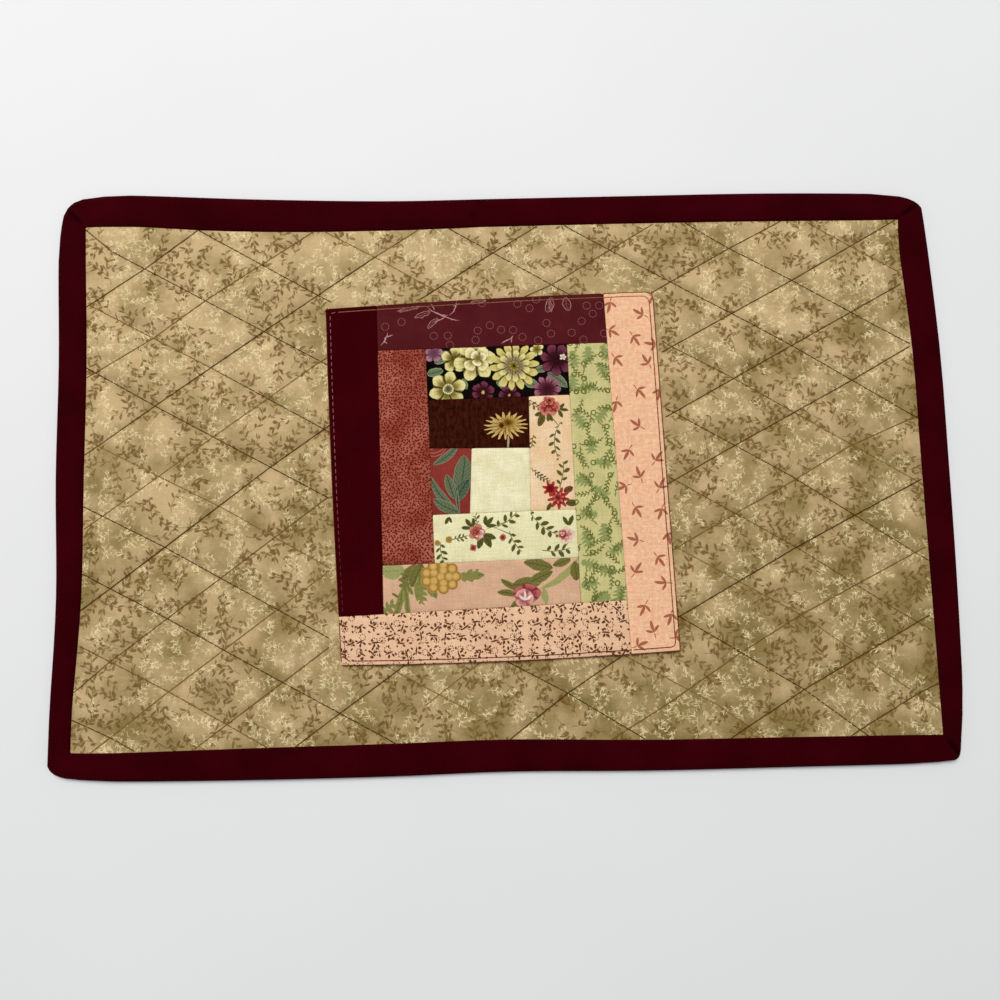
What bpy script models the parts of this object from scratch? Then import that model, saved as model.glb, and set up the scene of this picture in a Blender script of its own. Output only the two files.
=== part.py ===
"""A quilted placemat: a padded panel, a folded binding round it, and a log cabin block.

The mat lies flat on Z = 0 with the middle of its box at X = Y = 0. +X runs along its length,
+Y away from the person who sits at it, and +Z is up. Tables are in millimetres, the unit of
the sewing room, and are turned into metres where the pieces are made.
"""

import bpy
import bmesh
from mathutils import Matrix, Vector

MM = 0.001

# Thicknesses and clearances, in millimetres.
GAP = 0.3                # room between two pieces
BINDING_SHEET = 1.0      # the folded strip, over and under the panel's edge
BINDING_FOLD = 1.2       # the strip where it turns round the edge
PANEL_EDGE = 1.4         # the panel pressed thin inside the binding
PANEL_THICKNESS = 2.8
PATCH_THICKNESS = 1.0

TONGUE_BOTTOM = BINDING_SHEET + GAP
TONGUE_TOP = TONGUE_BOTTOM + PANEL_EDGE
BINDING_TOP = TONGUE_TOP + GAP + BINDING_SHEET
BLOCK_BOTTOM = PANEL_THICKNESS + GAP
BLOCK_TOP = BLOCK_BOTTOM + PATCH_THICKNESS

FOLD_ROUND = 1.3         # the binding's rolled outer edge
PANEL_ROUND = 0.5
PATCH_ROUND = 0.3        # the patches' pressed edges
OUTLINE_STEP = 11.0      # spacing of points along a wavy edge
CORNER_STEPS = 5
PATCH_EDGE_STEPS = 5
CREASE_WIDTH = 0.6
CREASE_DEPTH = 0.4

# The uneven edges, counter-clockwise round the mat. A row is a station: its place along the
# edge (x or y), where the binding ends, and the seam where the binding meets the panel.
EDGES = {
    "near": [
        (-195, -149.9, -136.9),
        (-130, -150.8, -136.2),
        (-60, -150.7, -135.6),
        (0, -149.7, -134.8),
        (70, -150.8, -136.5),
        (140, -150.7, -136.8),
        (200, -150.5, -137.1),
    ],
    "right": [
        (-115, 228.7, 217.3),
        (-60, 230.4, 217.3),
        (0, 231.1, 217.1),
        (60, 231.2, 217.0),
        (115, 229.0, 214.1),
    ],
    "far": [
        (200, 146.9, 132.5),
        (140, 147.9, 132.8),
        (70, 147.4, 132.5),
        (0, 146.8, 131.8),
        (-60, 146.3, 130.4),
        (-130, 148.3, 130.8),
        (-195, 151.3, 134.4),
    ],
    "left": [
        (115, -231.2, -217.4),
        (60, -229.0, -215.1),
        (0, -228.2, -214.4),
        (-60, -225.7, -213.5),
        (-115, -226.7, -216.0),
    ],
}
ALONG_X = ("near", "far")
OUTER = 1                # columns of the edge tables
SEAM = 2

# The corner where each of those edges starts: the seam's corner, then where the outer edge
# begins to turn, the point it turns about, and where it runs straight again.
CORNERS = {
    "near": ((-216.0, -136.3), (-226.7, -142.0), (-225.0, -146.5), (-218.0, -147.9)),
    "right": ((217.3, -137.3), (220.5, -149.4), (224.6, -149.3), (225.2, -145.0)),
    "far": ((214.6, 132.6), (227.6, 136.0), (228.0, 142.5), (216.0, 145.2)),
    "left": ((-218.0, 134.3), (-214.0, 150.2), (-229.8, 150.0), (-230.3, 135.0)),
}

# Creases of the binding: its four folded mitres and the slanted join of its two ends.
# (from, to)
CREASES = [
    ((-216.6, -137.0), (-223.6, -145.4)),
    ((217.6, -138.0), (223.4, -147.6)),
    ((215.2, 133.4), (225.0, 140.6)),
    ((-218.4, 135.2), (-226.0, 146.4)),
    ((-18.0, 132.6), (-10.5, 145.6)),
]

# Seams of the log cabin that run across: name, x at both ends, y at both ends, and how far
# the seam bows between them.
CROSS_SEAMS = {
    "block_top": (-91.0, 80.6, 86.9, 93.8, 0.9),
    "top_outer": (-64.0, 56.1, 64.2, 66.6, 0.0),
    "top_middle": (-38.0, 35.2, 37.6, 39.2, 0.0),
    "top_inner": (-37.0, 13.7, 12.3, 11.8, 0.0),
    "bottom_inner": (-36.2, 36.6, -21.9, -20.4, 0.0),
    "bottom_middle": (-61.9, 37.2, -47.1, -44.9, 0.0),
    "bottom_outer": (-84.5, 60.6, -72.2, -66.9, 0.0),
    "block_bottom": (-82.6, 87.0, -96.4, -92.7, -1.5),
}

# Seams that run up and down: name, y at both ends, x at both ends, and the bow.
UP_SEAMS = {
    "block_left": (-96.4, 86.9, -82.6, -91.0, -0.8),
    "left_outer": (-71.4, 88.5, -61.5, -64.4, 0.0),
    "left_middle": (-46.3, 64.7, -35.6, -39.1, 0.0),
    "left_inner": (-21.3, 12.1, -17.4, -16.0, 0.0),
    "right_inner": (-20.6, 38.9, 13.7, 14.0, 0.0),
    "right_middle": (-67.9, 65.8, 37.8, 34.6, 0.0),
    "right_outer": (-91.8, 92.6, 62.2, 54.6, 0.0),
    "block_right": (-92.7, 93.8, 87.0, 80.6, 0.0),
}

# The thirteen patches in sewing order: left and right seam, lower and upper seam, and the
# colour (red, green, blue) and roughness of the cloth.
PATCHES = {
    "patch_centre": ("left_inner", "right_inner", "bottom_inner", "top_inner",
                     (0.72, 0.74, 0.54), 0.90),
    "strip_left_inner": ("left_middle", "left_inner", "bottom_inner", "top_inner",
                         (0.25, 0.05, 0.05), 0.90),
    "strip_top_inner": ("left_middle", "right_inner", "top_inner", "top_middle",
                        (0.04, 0.01, 0.006), 0.85),
    "strip_right_inner": ("right_inner", "right_middle", "bottom_inner", "top_middle",
                          (0.84, 0.58, 0.40), 0.90),
    "strip_bottom_inner": ("left_middle", "right_middle", "bottom_middle", "bottom_inner",
                           (0.79, 0.80, 0.63), 0.90),
    "strip_top_middle": ("left_middle", "right_middle", "top_middle", "top_outer",
                         (0.012, 0.008, 0.008), 0.85),
    "strip_left_middle": ("left_outer", "left_middle", "bottom_middle", "top_outer",
                          (0.34, 0.08, 0.05), 0.90),
    "strip_bottom_middle": ("left_outer", "right_middle", "bottom_outer", "bottom_middle",
                            (0.69, 0.43, 0.31), 0.90),
    "strip_right_middle": ("right_middle", "right_outer", "bottom_outer", "top_outer",
                           (0.48, 0.53, 0.21), 0.90),
    "strip_top_outer": ("left_outer", "right_outer", "top_outer", "block_top",
                        (0.077, 0.010, 0.010), 0.88),
    "strip_left_outer": ("block_left", "left_outer", "bottom_outer", "block_top",
                         (0.035, 0.0, 0.004), 0.88),
    "strip_bottom_outer": ("block_left", "right_outer", "block_bottom", "bottom_outer",
                           (0.75, 0.46, 0.30), 0.90),
    "strip_right_outer": ("right_outer", "block_right", "block_bottom", "block_top",
                          (0.87, 0.46, 0.26), 0.90),
}

# The one corner of the block that is turned under round, and its radius.
ROUND_CORNER_OF = "strip_right_outer"
ROUND_CORNER_RADIUS = 4.0

PANEL_COLOUR = (0.50, 0.40, 0.21)
PANEL_ROUGHNESS = 0.92
BINDING_COLOUR = (0.035, 0.0, 0.004)
BINDING_ROUGHNESS = 0.85


def clear_scene():
    """Start from an empty file."""
    for old in list(bpy.data.objects):
        bpy.data.objects.remove(old, do_unlink=True)


def cloth(name, colour, roughness):
    """A plain cloth material."""
    material = bpy.data.materials.new(name)
    material.use_nodes = True
    shader = material.node_tree.nodes["Principled BSDF"]
    shader.inputs["Base Color"].default_value = (*colour, 1.0)
    shader.inputs["Roughness"].default_value = roughness
    shader.inputs["Metallic"].default_value = 0.0
    return material


# ---------------------------------------------------------------- outlines, in millimetres

def smooth_run(stations):
    """Points on a smooth line through the stations, all but the last station."""
    padded = [stations[0], *stations, stations[-1]]
    run = []
    for before, start, end, after in zip(padded, padded[1:], padded[2:], padded[3:]):
        steps = max(1, round((end - start).length / OUTLINE_STEP))
        for step in range(steps):
            t = step / steps
            leave = (end - before) * 0.5
            arrive = (after - start) * 0.5
            run.append(start * (2 * t**3 - 3 * t**2 + 1) + leave * (t**3 - 2 * t**2 + t)
                       + end * (3 * t**2 - 2 * t**3) + arrive * (t**3 - t**2))
    return run


def corner_run(start, control, end):
    """Points round a soft corner, all but the last."""
    run = []
    for step in range(CORNER_STEPS):
        t = step / CORNER_STEPS
        run.append(start * (1 - t)**2 + control * 2 * t * (1 - t) + end * t**2)
    return run


def edge_stations(edge, column):
    """The stations of one edge, on its outside or on its seam."""
    if edge in ALONG_X:
        return [Vector((row[0], row[column])) for row in EDGES[edge]]
    return [Vector((row[column], row[0])) for row in EDGES[edge]]


def outer_outline():
    """The wavy outside of the binding, with its soft corners."""
    edges = list(EDGES)
    outline = []
    for edge, following in zip(edges, edges[1:] + edges[:1]):
        start, control, end = [Vector(point) for point in CORNERS[edge][1:]]
        next_start = Vector(CORNERS[following][1])
        outline += corner_run(start, control, end)
        outline += smooth_run([end, *edge_stations(edge, OUTER), next_start])
    return outline


def seam_outline():
    """The line where the binding meets the panel, with its square corners."""
    edges = list(EDGES)
    outline = []
    for edge, following in zip(edges, edges[1:] + edges[:1]):
        corner = Vector(CORNERS[edge][0])
        next_corner = Vector(CORNERS[following][0])
        outline += smooth_run([corner, *edge_stations(edge, SEAM), next_corner])
    return outline


def inset(outline, distance):
    """The outline moved inwards by a distance; it runs counter-clockwise."""
    moved = []
    for before, point, after in zip(outline[-1:] + outline, outline, outline[1:] + outline[:1]):
        into = (point - before).normalized()
        out_of = (after - point).normalized()
        inward = Vector((-into.y - out_of.y, into.x + out_of.x)).normalized()
        moved.append(point + inward * distance / max(0.5, inward.dot(Vector((-into.y, into.x)))))
    return moved


def seam_at(row, position):
    """Where a seam lies at a position along it."""
    start, end, at_start, at_end, bow = row
    t = (position - start) / (end - start)
    return at_start + (at_end - at_start) * t + bow * 4 * t * (1 - t)


def seam_crossing(cross_seam, up_seam):
    """The point where two seams of the log cabin meet."""
    x = 0.0
    for _ in range(6):
        y = seam_at(CROSS_SEAMS[cross_seam], x)
        x = seam_at(UP_SEAMS[up_seam], y)
    return Vector((x, y))


def patch_outline(name):
    """A patch's outline, counter-clockwise, along the four seams that bound it."""
    left, right, low, high = PATCHES[name][:4]
    outline = []
    for seam, start, end in ((low, left, right), (right, low, high),
                             (high, right, left), (left, high, low)):
        across = seam in (low, high)
        first = seam_crossing(seam, start) if across else seam_crossing(start, seam)
        last = seam_crossing(seam, end) if across else seam_crossing(end, seam)
        for step in range(PATCH_EDGE_STEPS):
            point = first.lerp(last, step / PATCH_EDGE_STEPS)
            if across:
                point.y = seam_at(CROSS_SEAMS[seam], point.x)
            else:
                point.x = seam_at(UP_SEAMS[seam], point.y)
            outline.append(point)
    if name == ROUND_CORNER_OF:
        corner = 2 * PATCH_EDGE_STEPS
        point = outline[corner]
        start = point + (outline[corner - 1] - point).normalized() * ROUND_CORNER_RADIUS
        end = point + (outline[corner + 1] - point).normalized() * ROUND_CORNER_RADIUS
        outline[corner:corner + 1] = corner_run(start, point, end) + [end]
    return outline


# ---------------------------------------------------------------- solids

def slab(name, outline, bottom, top, collection):
    """A flat solid between two heights, from a filled 2D curve, as one welded mesh."""
    curve = bpy.data.curves.new(name + "_outline", "CURVE")
    curve.dimensions = "2D"
    curve.fill_mode = "BOTH"
    curve.extrude = (top - bottom) / 2 * MM
    spline = curve.splines.new("POLY")
    spline.points.add(len(outline) - 1)
    for place, point in zip(spline.points, outline):
        place.co = (point.x * MM, point.y * MM, 0.0, 1.0)
    spline.use_cyclic_u = True
    guide = bpy.data.objects.new(name + "_guide", curve)
    collection.objects.link(guide)
    bpy.context.view_layer.update()
    evaluated = guide.evaluated_get(bpy.context.evaluated_depsgraph_get())
    mesh = bpy.data.meshes.new_from_object(evaluated)
    bpy.data.objects.remove(guide, do_unlink=True)

    shape = bmesh.new()
    shape.from_mesh(mesh)
    bmesh.ops.remove_doubles(shape, verts=shape.verts, dist=0.000001)
    bmesh.ops.recalc_face_normals(shape, faces=shape.faces)
    for up in (1, -1):
        flat = [face for face in shape.faces if face.normal.z * up > 0.9]
        bmesh.ops.dissolve_faces(shape, faces=flat)
    bmesh.ops.translate(shape, verts=shape.verts, vec=(0.0, 0.0, (bottom + top) / 2 * MM))
    shape.to_mesh(mesh)
    shape.free()
    mesh.name = name
    piece = bpy.data.objects.new(name, mesh)
    collection.objects.link(piece)
    return piece


def round_edges(piece, width, segments):
    """Soften the edges where a slab's faces meet its sides."""
    bevel = piece.modifiers.new("soft_edge", "BEVEL")
    bevel.width = width * MM
    bevel.segments = segments
    bevel.limit_method = "ANGLE"
    bevel.angle_limit = 1.2


def combine(piece, other, operation):
    """Cut a piece with another, or join the two; the other stays as a guide."""
    boolean = piece.modifiers.new(operation.lower(), "BOOLEAN")
    boolean.operation = operation
    boolean.solver = "EXACT"
    boolean.object = other
    other.hide_render = True
    other.display_type = "WIRE"


def make_panel(outer, seam, parts, cutters):
    """The padded panel, with the thin edge that the binding holds."""
    panel = slab("quilted_panel", inset(seam, GAP), 0.0, PANEL_THICKNESS, parts)
    round_edges(panel, PANEL_ROUND, 2)
    edge = slab("panel_edge", inset(outer, BINDING_FOLD + GAP), TONGUE_BOTTOM, TONGUE_TOP,
                cutters)
    combine(panel, edge, "UNION")
    panel.data.materials.append(cloth("quilted_cotton", PANEL_COLOUR, PANEL_ROUGHNESS))
    return panel


def crease_cutter(number, start, end, cutters):
    """A narrow block that presses a crease into the top of the binding."""
    start = Vector(start)
    end = Vector(end)
    along = end - start
    shape = bmesh.new()
    bmesh.ops.create_cube(shape, size=1.0)
    size = (along.length * MM, CREASE_WIDTH * MM, 2 * CREASE_DEPTH * MM)
    bmesh.ops.scale(shape, verts=shape.verts, vec=size)
    mesh = bpy.data.meshes.new(f"crease_{number}")
    shape.to_mesh(mesh)
    shape.free()
    cutter = bpy.data.objects.new(f"crease_{number}", mesh)
    middle = (start + end) / 2 * MM
    turn = Vector((1.0, 0.0)).angle_signed(along)
    cutter.matrix_world = (Matrix.Translation((middle.x, middle.y, BINDING_TOP * MM))
                           @ Matrix.Rotation(-turn, 4, "Z"))
    cutters.objects.link(cutter)
    return cutter


def make_binding(outer, seam, parts, cutters):
    """The folded strip: a ring with a slot all round its inside for the panel's edge."""
    binding = slab("binding", outer, 0.0, BINDING_TOP, parts)
    round_edges(binding, FOLD_ROUND, 3)
    window = slab("window", seam, -1.0, BINDING_TOP + 1.0, cutters)
    slot = slab("slot", inset(outer, BINDING_FOLD), BINDING_SHEET, BINDING_TOP - BINDING_SHEET,
                cutters)
    combine(binding, slot, "DIFFERENCE")
    combine(binding, window, "DIFFERENCE")
    for number, (start, end) in enumerate(CREASES):
        combine(binding, crease_cutter(number, start, end, cutters), "DIFFERENCE")
    binding.data.materials.append(cloth("binding_cotton", BINDING_COLOUR, BINDING_ROUGHNESS))
    return binding


def make_patch(name, parts):
    """One patch of the log cabin, lying on the panel beside its neighbours."""
    outline = inset(patch_outline(name), GAP / 2)
    patch = slab(name, outline, BLOCK_BOTTOM, BLOCK_TOP, parts)
    round_edges(patch, PATCH_ROUND, 2)
    colour, roughness = PATCHES[name][4:]
    patch.data.materials.append(cloth(name + "_cotton", colour, roughness))
    return patch


def centre_on_origin(objects, outline):
    """Shift everything so that the middle of the mat's box is the origin."""
    xs = [point.x for point in outline]
    ys = [point.y for point in outline]
    shift = Vector(((min(xs) + max(xs)) / 2, (min(ys) + max(ys)) / 2, 0.0)) * MM
    for thing in objects:
        thing.matrix_world = Matrix.Translation(-shift) @ thing.matrix_world


def main():
    clear_scene()
    parts = bpy.data.collections.new("placemat")
    cutters = bpy.data.collections.new("cutters")
    bpy.context.scene.collection.children.link(parts)
    bpy.context.scene.collection.children.link(cutters)

    outer = outer_outline()
    seam = seam_outline()
    make_panel(outer, seam, parts, cutters)
    make_binding(outer, seam, parts, cutters)
    for name in PATCHES:
        make_patch(name, parts)
    centre_on_origin([*parts.objects, *cutters.objects], outer)


main()
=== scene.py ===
# %% [markdown]
# # A quilted placemat
# This notebook dresses the placemat's solids in cloth and thread. The solids are loaded first and
# never move; every piece made here takes its place and its size from them.

# %% Load the solids
import bpy
import bmesh
import math
from functools import partial

import numpy as np
from mathutils import Matrix, Vector, noise
from mathutils.bvhtree import BVHTree


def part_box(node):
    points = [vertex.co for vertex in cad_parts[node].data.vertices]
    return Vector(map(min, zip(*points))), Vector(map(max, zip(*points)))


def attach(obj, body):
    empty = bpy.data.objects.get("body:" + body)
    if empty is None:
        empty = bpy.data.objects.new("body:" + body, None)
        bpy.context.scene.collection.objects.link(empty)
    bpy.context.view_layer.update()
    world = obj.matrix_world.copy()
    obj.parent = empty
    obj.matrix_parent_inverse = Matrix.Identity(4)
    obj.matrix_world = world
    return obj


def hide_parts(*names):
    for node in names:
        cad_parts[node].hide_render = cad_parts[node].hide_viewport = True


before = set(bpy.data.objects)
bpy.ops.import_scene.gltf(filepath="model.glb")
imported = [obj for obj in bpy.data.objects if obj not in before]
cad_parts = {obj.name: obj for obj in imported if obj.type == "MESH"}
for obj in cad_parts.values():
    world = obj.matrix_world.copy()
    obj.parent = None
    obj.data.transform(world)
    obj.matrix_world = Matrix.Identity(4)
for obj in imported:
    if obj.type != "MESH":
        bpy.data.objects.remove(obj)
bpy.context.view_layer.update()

MM = 0.001
print("solids:", sorted(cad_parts))

# %% [markdown]
# ## Outlines from the solids
# The mat is not a true rectangle: every edge waves a little. Its outlines could be typed in again,
# but then two lists would have to agree. Instead each outline is read from a solid at one height,
# sorted round its middle, and cut at the corners into four sides.

# %% Read an outline and its four sides
CORNER_WAYS = [(-1, -1), (1, -1), (1, 1), (-1, 1)]   # near left, near right, far right, far left
SAME_HEIGHT = 0.02           # millimetres between vertices that count as one level


def outline_at(node, height):
    """The outline of a solid at one height, counter-clockwise, in millimetres."""
    places = np.array([v.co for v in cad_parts[node].data.vertices]) / MM
    level = places[np.abs(places[:, 2] - height) < SAME_HEIGHT][:, :2]
    level = np.unique(level.round(2), axis=0)
    middle = (level.min(0) + level.max(0)) / 2
    turn = np.arctan2(level[:, 1] - middle[1], level[:, 0] - middle[0])
    return level[np.argsort(turn)]


def sides_of(outline):
    """Four runs of points: near and far from left to right, left and right from near to far."""
    corners = [int(np.argmax(outline @ np.array(way))) for way in CORNER_WAYS]
    runs = []
    for start, end in zip(corners, corners[1:] + corners[:1]):
        count = (end - start) % len(outline)
        runs.append(outline[np.arange(start, start + count + 1) % len(outline)])
    near, right, far, left = runs
    return {"near": near, "right": right, "far": far[::-1], "left": left[::-1]}


def along(run, share):
    """Points of a run at shares of its length from 0 to 1."""
    steps = np.hypot(*np.diff(run, axis=0).T)
    travelled = np.concatenate([[0.0], np.cumsum(steps)])
    travelled /= travelled[-1]
    return np.stack([np.interp(share, travelled, run[:, i]) for i in (0, 1)], -1)


def length_of(run):
    """Length of a run of points, in millimetres."""
    return float(np.hypot(*np.diff(run, axis=0).T).sum())

# %% The mat's seam and its edge
PANEL_WALL_HEIGHT = 0.5      # the panel's side wall, below its rounded upper edge
BINDING_WALL_HEIGHT = 1.3    # the binding's side wall, above its rounded lower edge
seam_sides = sides_of(outline_at("quilted_panel", PANEL_WALL_HEIGHT))
outer_sides = sides_of(outline_at("binding", BINDING_WALL_HEIGHT))
for name in seam_sides:
    print(name, "seam", round(length_of(seam_sides[name])), "mm, edge",
          round(length_of(outer_sides[name])), "mm")

# %% [markdown]
# ## Grids that fill four sides
# A cloth piece is a grid whose four edges follow four wavy sides. Blending opposite sides
# (a Coons patch) spreads the waviness over the inside, as woven threads do. A subdivided plane would
# have to be pushed to its outline afterwards.

# %% Fit a grid to four sides
def fitted_places(sides, u, v):
    """Places at shares u (left to right) and v (near to far) inside four sides."""
    near, far = along(sides["near"], u), along(sides["far"], u)
    left, right = along(sides["left"], v), along(sides["right"], v)
    u, v = u[:, None], v[:, None]
    corners = ((1 - u) * (1 - v) * sides["near"][0] + u * (1 - v) * sides["near"][-1]
               + u * v * sides["far"][-1] + (1 - u) * v * sides["far"][0])
    return (1 - v) * near + v * far + (1 - u) * left + u * right - corners


def grid_shares(columns, rows):
    """A new grid in bmesh, and where each of its vertices lies across it, from 0 to 1."""
    cloth = bmesh.new()
    bmesh.ops.create_grid(cloth, x_segments=columns, y_segments=rows, size=0.5)
    shares = np.array([vertex.co for vertex in cloth.verts])[:, :2] + 0.5
    return cloth, shares[:, 0], shares[:, 1]


def place_vertices(vertices, places, heights):
    """Move vertices to places and heights given in millimetres."""
    for vertex, place, height in zip(vertices, places, heights):
        vertex.co = (place[0] * MM, place[1] * MM, height * MM)


def smooth_piece(name, cloth, material):
    """Turn a bmesh into a smooth-shaded object at the origin."""
    bmesh.ops.recalc_face_normals(cloth, faces=cloth.faces)
    if cloth.calc_volume(signed=True) < 0:   # so thin a shape can come out inside out
        bmesh.ops.reverse_faces(cloth, faces=cloth.faces)
    mesh = bpy.data.meshes.new(name)
    cloth.to_mesh(mesh)
    cloth.free()
    mesh.shade_smooth()
    piece = bpy.data.objects.new(name, mesh)
    bpy.context.scene.collection.objects.link(piece)
    mesh.materials.append(material)
    return piece


def unevenness(places, wavelength, seed):
    """Smooth noise from -1 to 1 for each place, in waves of about one length."""
    return np.array([noise.noise(Vector((x / wavelength, y / wavelength, seed)))
                     for x, y in places])

# %% [markdown]
# ## Colour and node helpers
# Colours are written as the hex values a painter would pick, and turned to linear light by one
# function. One more function adds a node: its inputs in order or by name, and its settings. Sums
# and products are nodes too, and there are many, so their kind is just the sign.

# %% Colour and nodes
def linear(hex_colour):
    """An sRGB hex colour as linear red, green, blue and full alpha."""
    parts = [int(hex_colour[i:i + 2], 16) / 255 for i in (1, 3, 5)]
    return [p / 12.92 if p <= 0.04045 else ((p + 0.055) / 1.055) ** 2.4 for p in parts] + [1.0]


SIGNS = {"+": "ADD", "-": "SUBTRACT", "*": "MULTIPLY", "/": "DIVIDE"}


def add_node(tree, kind, *inputs, sockets=None, **settings):
    """Add a node, such as "TexNoise", "VectorMath.ADD" or, in capitals or as a sign, an operation
    of Math. An input is a number, a hex colour, a node or one of its outputs."""
    kind = SIGNS.get(kind, kind)
    kind, _, operation = ("Math." + kind if kind.isupper() else kind).partition(".")
    node = tree.nodes.new(kind if kind.startswith("NodeGroup") else "ShaderNode" + kind)
    if operation:
        node.operation = operation
    for key, value in settings.items():
        setattr(node, key, value)
    open_sockets = [socket for socket in node.inputs if socket.enabled]
    pairs = list(zip(open_sockets, inputs))
    pairs += [(node.inputs[key], value) for key, value in (sockets or {}).items()]
    for socket, value in pairs:
        if isinstance(value, bpy.types.Node):
            value = next(output for output in value.outputs if output.enabled)
        if isinstance(value, bpy.types.NodeSocket):
            tree.links.new(value, socket)
        else:
            socket.default_value = linear(value) if isinstance(value, str) else value
    return node


def new_material(name):
    """A material with an empty node tree, and the pen that adds nodes to it."""
    material = bpy.data.materials.new(name)
    material.use_nodes = True
    material.node_tree.nodes.clear()
    return material, partial(add_node, material.node_tree)

# %% [markdown]
# ## Printed motifs as node groups
# The cloths are printed with sprigs, leaves, flowers, roses and rings. Each motif is drawn once, as
# a group of nodes that says how much ink lies at a place. An image could hold the print instead,
# but a drawn motif stays sharp at any distance and can be strewn over a cloth as on the real one.
# Where a MapRange turns a distance into ink, its first two numbers are where the ink begins and
# where it is full, in millimetres, so a small step between them is the soft edge of the print.

# %% Start a group, and the weave
def new_group(name, inputs, outputs):
    """A node group with float or vector inputs, its pen, and its inputs as sockets."""
    tree = bpy.data.node_groups.new(name, "ShaderNodeTree")
    for key, value in inputs.items():
        kind = "NodeSocketFloat" if isinstance(value, float) else "NodeSocketVector"
        socket = tree.interface.new_socket(name=key, in_out="INPUT", socket_type=kind)
        socket.default_value = value
    for key in outputs:
        tree.interface.new_socket(name=key, in_out="OUTPUT", socket_type="NodeSocketFloat")
    add = partial(add_node, tree)
    return tree, add, add("NodeGroupInput").outputs


ORIGIN = (0.0, 0.0, 0.0)
SLUB_ALONG, SLUB_ACROSS = 0.10, 1.5      # a thicker stretch of thread is long and narrow


def draw_weave():
    """Plain weave: each thread rises over one and dips under the next, and varies in thickness."""
    tree, add, given = new_group("plain_weave", {"Place": ORIGIN, "Thread": 0.9},
                                 ["Height", "Tone"])
    turns = add("/", math.pi, given["Thread"])
    angle = add("SeparateXYZ", add("VectorMath.SCALE", given["Place"], turns))
    warp = add("SINE", angle.outputs["X"])
    weft = add("SINE", angle.outputs["Y"])
    height = add("MULTIPLY_ADD", add("*", warp, weft), 0.5, 0.5)
    slubs = []
    for stretch in ((SLUB_ACROSS, SLUB_ALONG, 0.0), (SLUB_ALONG, SLUB_ACROSS, 0.0)):
        stretched = add("VectorMath.MULTIPLY", given["Place"], stretch)
        slubs.append(add("TexNoise", stretched, 1.0, 1.0))
    add("NodeGroupOutput", height, add("+", *slubs))
    return tree


plain_weave = draw_weave()
print("weave:", len(plain_weave.nodes), "nodes")

# %% [markdown]
# A sprig is a bent stem with leaves on its two sides, in pairs or by turns. Folding the plane along
# the stem and wrapping it at every pitch lets one leaf shape draw them all. Lengths are millimetres.

# %% Draw a sprig
LEAF_ROUNDNESS = 0.7     # power of the arch t (1 - t) that outlines a leaf
BROAD = 1.32             # makes up for the arch's top, 0.38, so that a leaf is as wide as it says
LEAF_BEHIND = -0.12      # share of the pitch that a leaf reaches behind its own place
LEAF_START = 0.06        # share of a leaf's length that its stem hides
SHRINKING, SMALLEST = -0.6, 0.42     # how much smaller the end leaves are, and the last one's size


def draw_sprig():
    """Leaf and stem ink of a sprig that lies along its own X."""
    tree, add, given = new_group("sprig", {
        "Place": ORIGIN, "Bend": 0.02, "Half Length": 8.0, "Pitch": 4.0, "Leaf Length": 4.0,
        "Leaf Width": 1.6, "Spread": 0.8, "Stem Width": 0.3, "Stagger": 0.25}, ["Leaf", "Stem"])
    x, y, _ = add("SeparateXYZ", given["Place"]).outputs
    curve = add("*", add("*", x, x), given["Bend"])
    off = add("-", y, curve)
    away = add("ABSOLUTE", off)
    stagger = add("*", add("SIGN", off), given["Pitch"])
    shifted = add("MULTIPLY_ADD", stagger, given["Stagger"], x)
    before = add("*", given["Pitch"], LEAF_BEHIND)
    after = add("+", given["Pitch"], before)
    local = add("WRAP", shifted, after, before)
    # Leaves get smaller towards both ends of the stem, and stop there.
    reach = add("/", add("-", shifted, local), given["Half Length"])
    size = add("MULTIPLY_ADD", add("*", reach, reach), SHRINKING, 1.0)
    grown = add("GREATER_THAN", size, SMALLEST)
    # Turn the plane so that the leaf points outwards and forwards along X.
    back = add("*", given["Spread"], -1.0)
    turned = add("VectorRotate", add("CombineXYZ", local, away), rotation_type="Z_AXIS",
                 sockets={"Angle": back})
    a, b, _ = add("SeparateXYZ", turned).outputs
    t = add("/", a, add("*", given["Leaf Length"], size))
    t = add("-", t, LEAF_START)
    bulge = add("*", t, add("-", 1.0, t))
    bulge = add("POWER", add("MAXIMUM", bulge, 0.0), LEAF_ROUNDNESS)
    width = add("*", add("*", given["Leaf Width"], BROAD), size)
    inside = add("-", add("*", bulge, width), add("ABSOLUTE", b))
    leaf = add("*", add("MapRange", inside, -0.08, 0.2), grown)
    half_stem = add("*", given["Stem Width"], 0.5)
    stem = add("MapRange", add("-", half_stem, away), -0.15, 0.1)
    within = add("LESS_THAN", add("ABSOLUTE", x), given["Half Length"])
    add("NodeGroupOutput", leaf, add("*", stem, within))
    return tree


sprig = draw_sprig()
print("sprig:", len(sprig.nodes), "nodes")

# %% [markdown]
# A leaf is drawn from its base along its own X: inside a rounded outline there is fill, along the
# middle and slantwise there are veins, and the outline itself can be printed in a paler ink.

# %% Draw a leaf
RIB_PITCH, RIB_SLANT = 2.2, -1.1     # millimetres between the slanting veins, and how they slant


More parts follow.
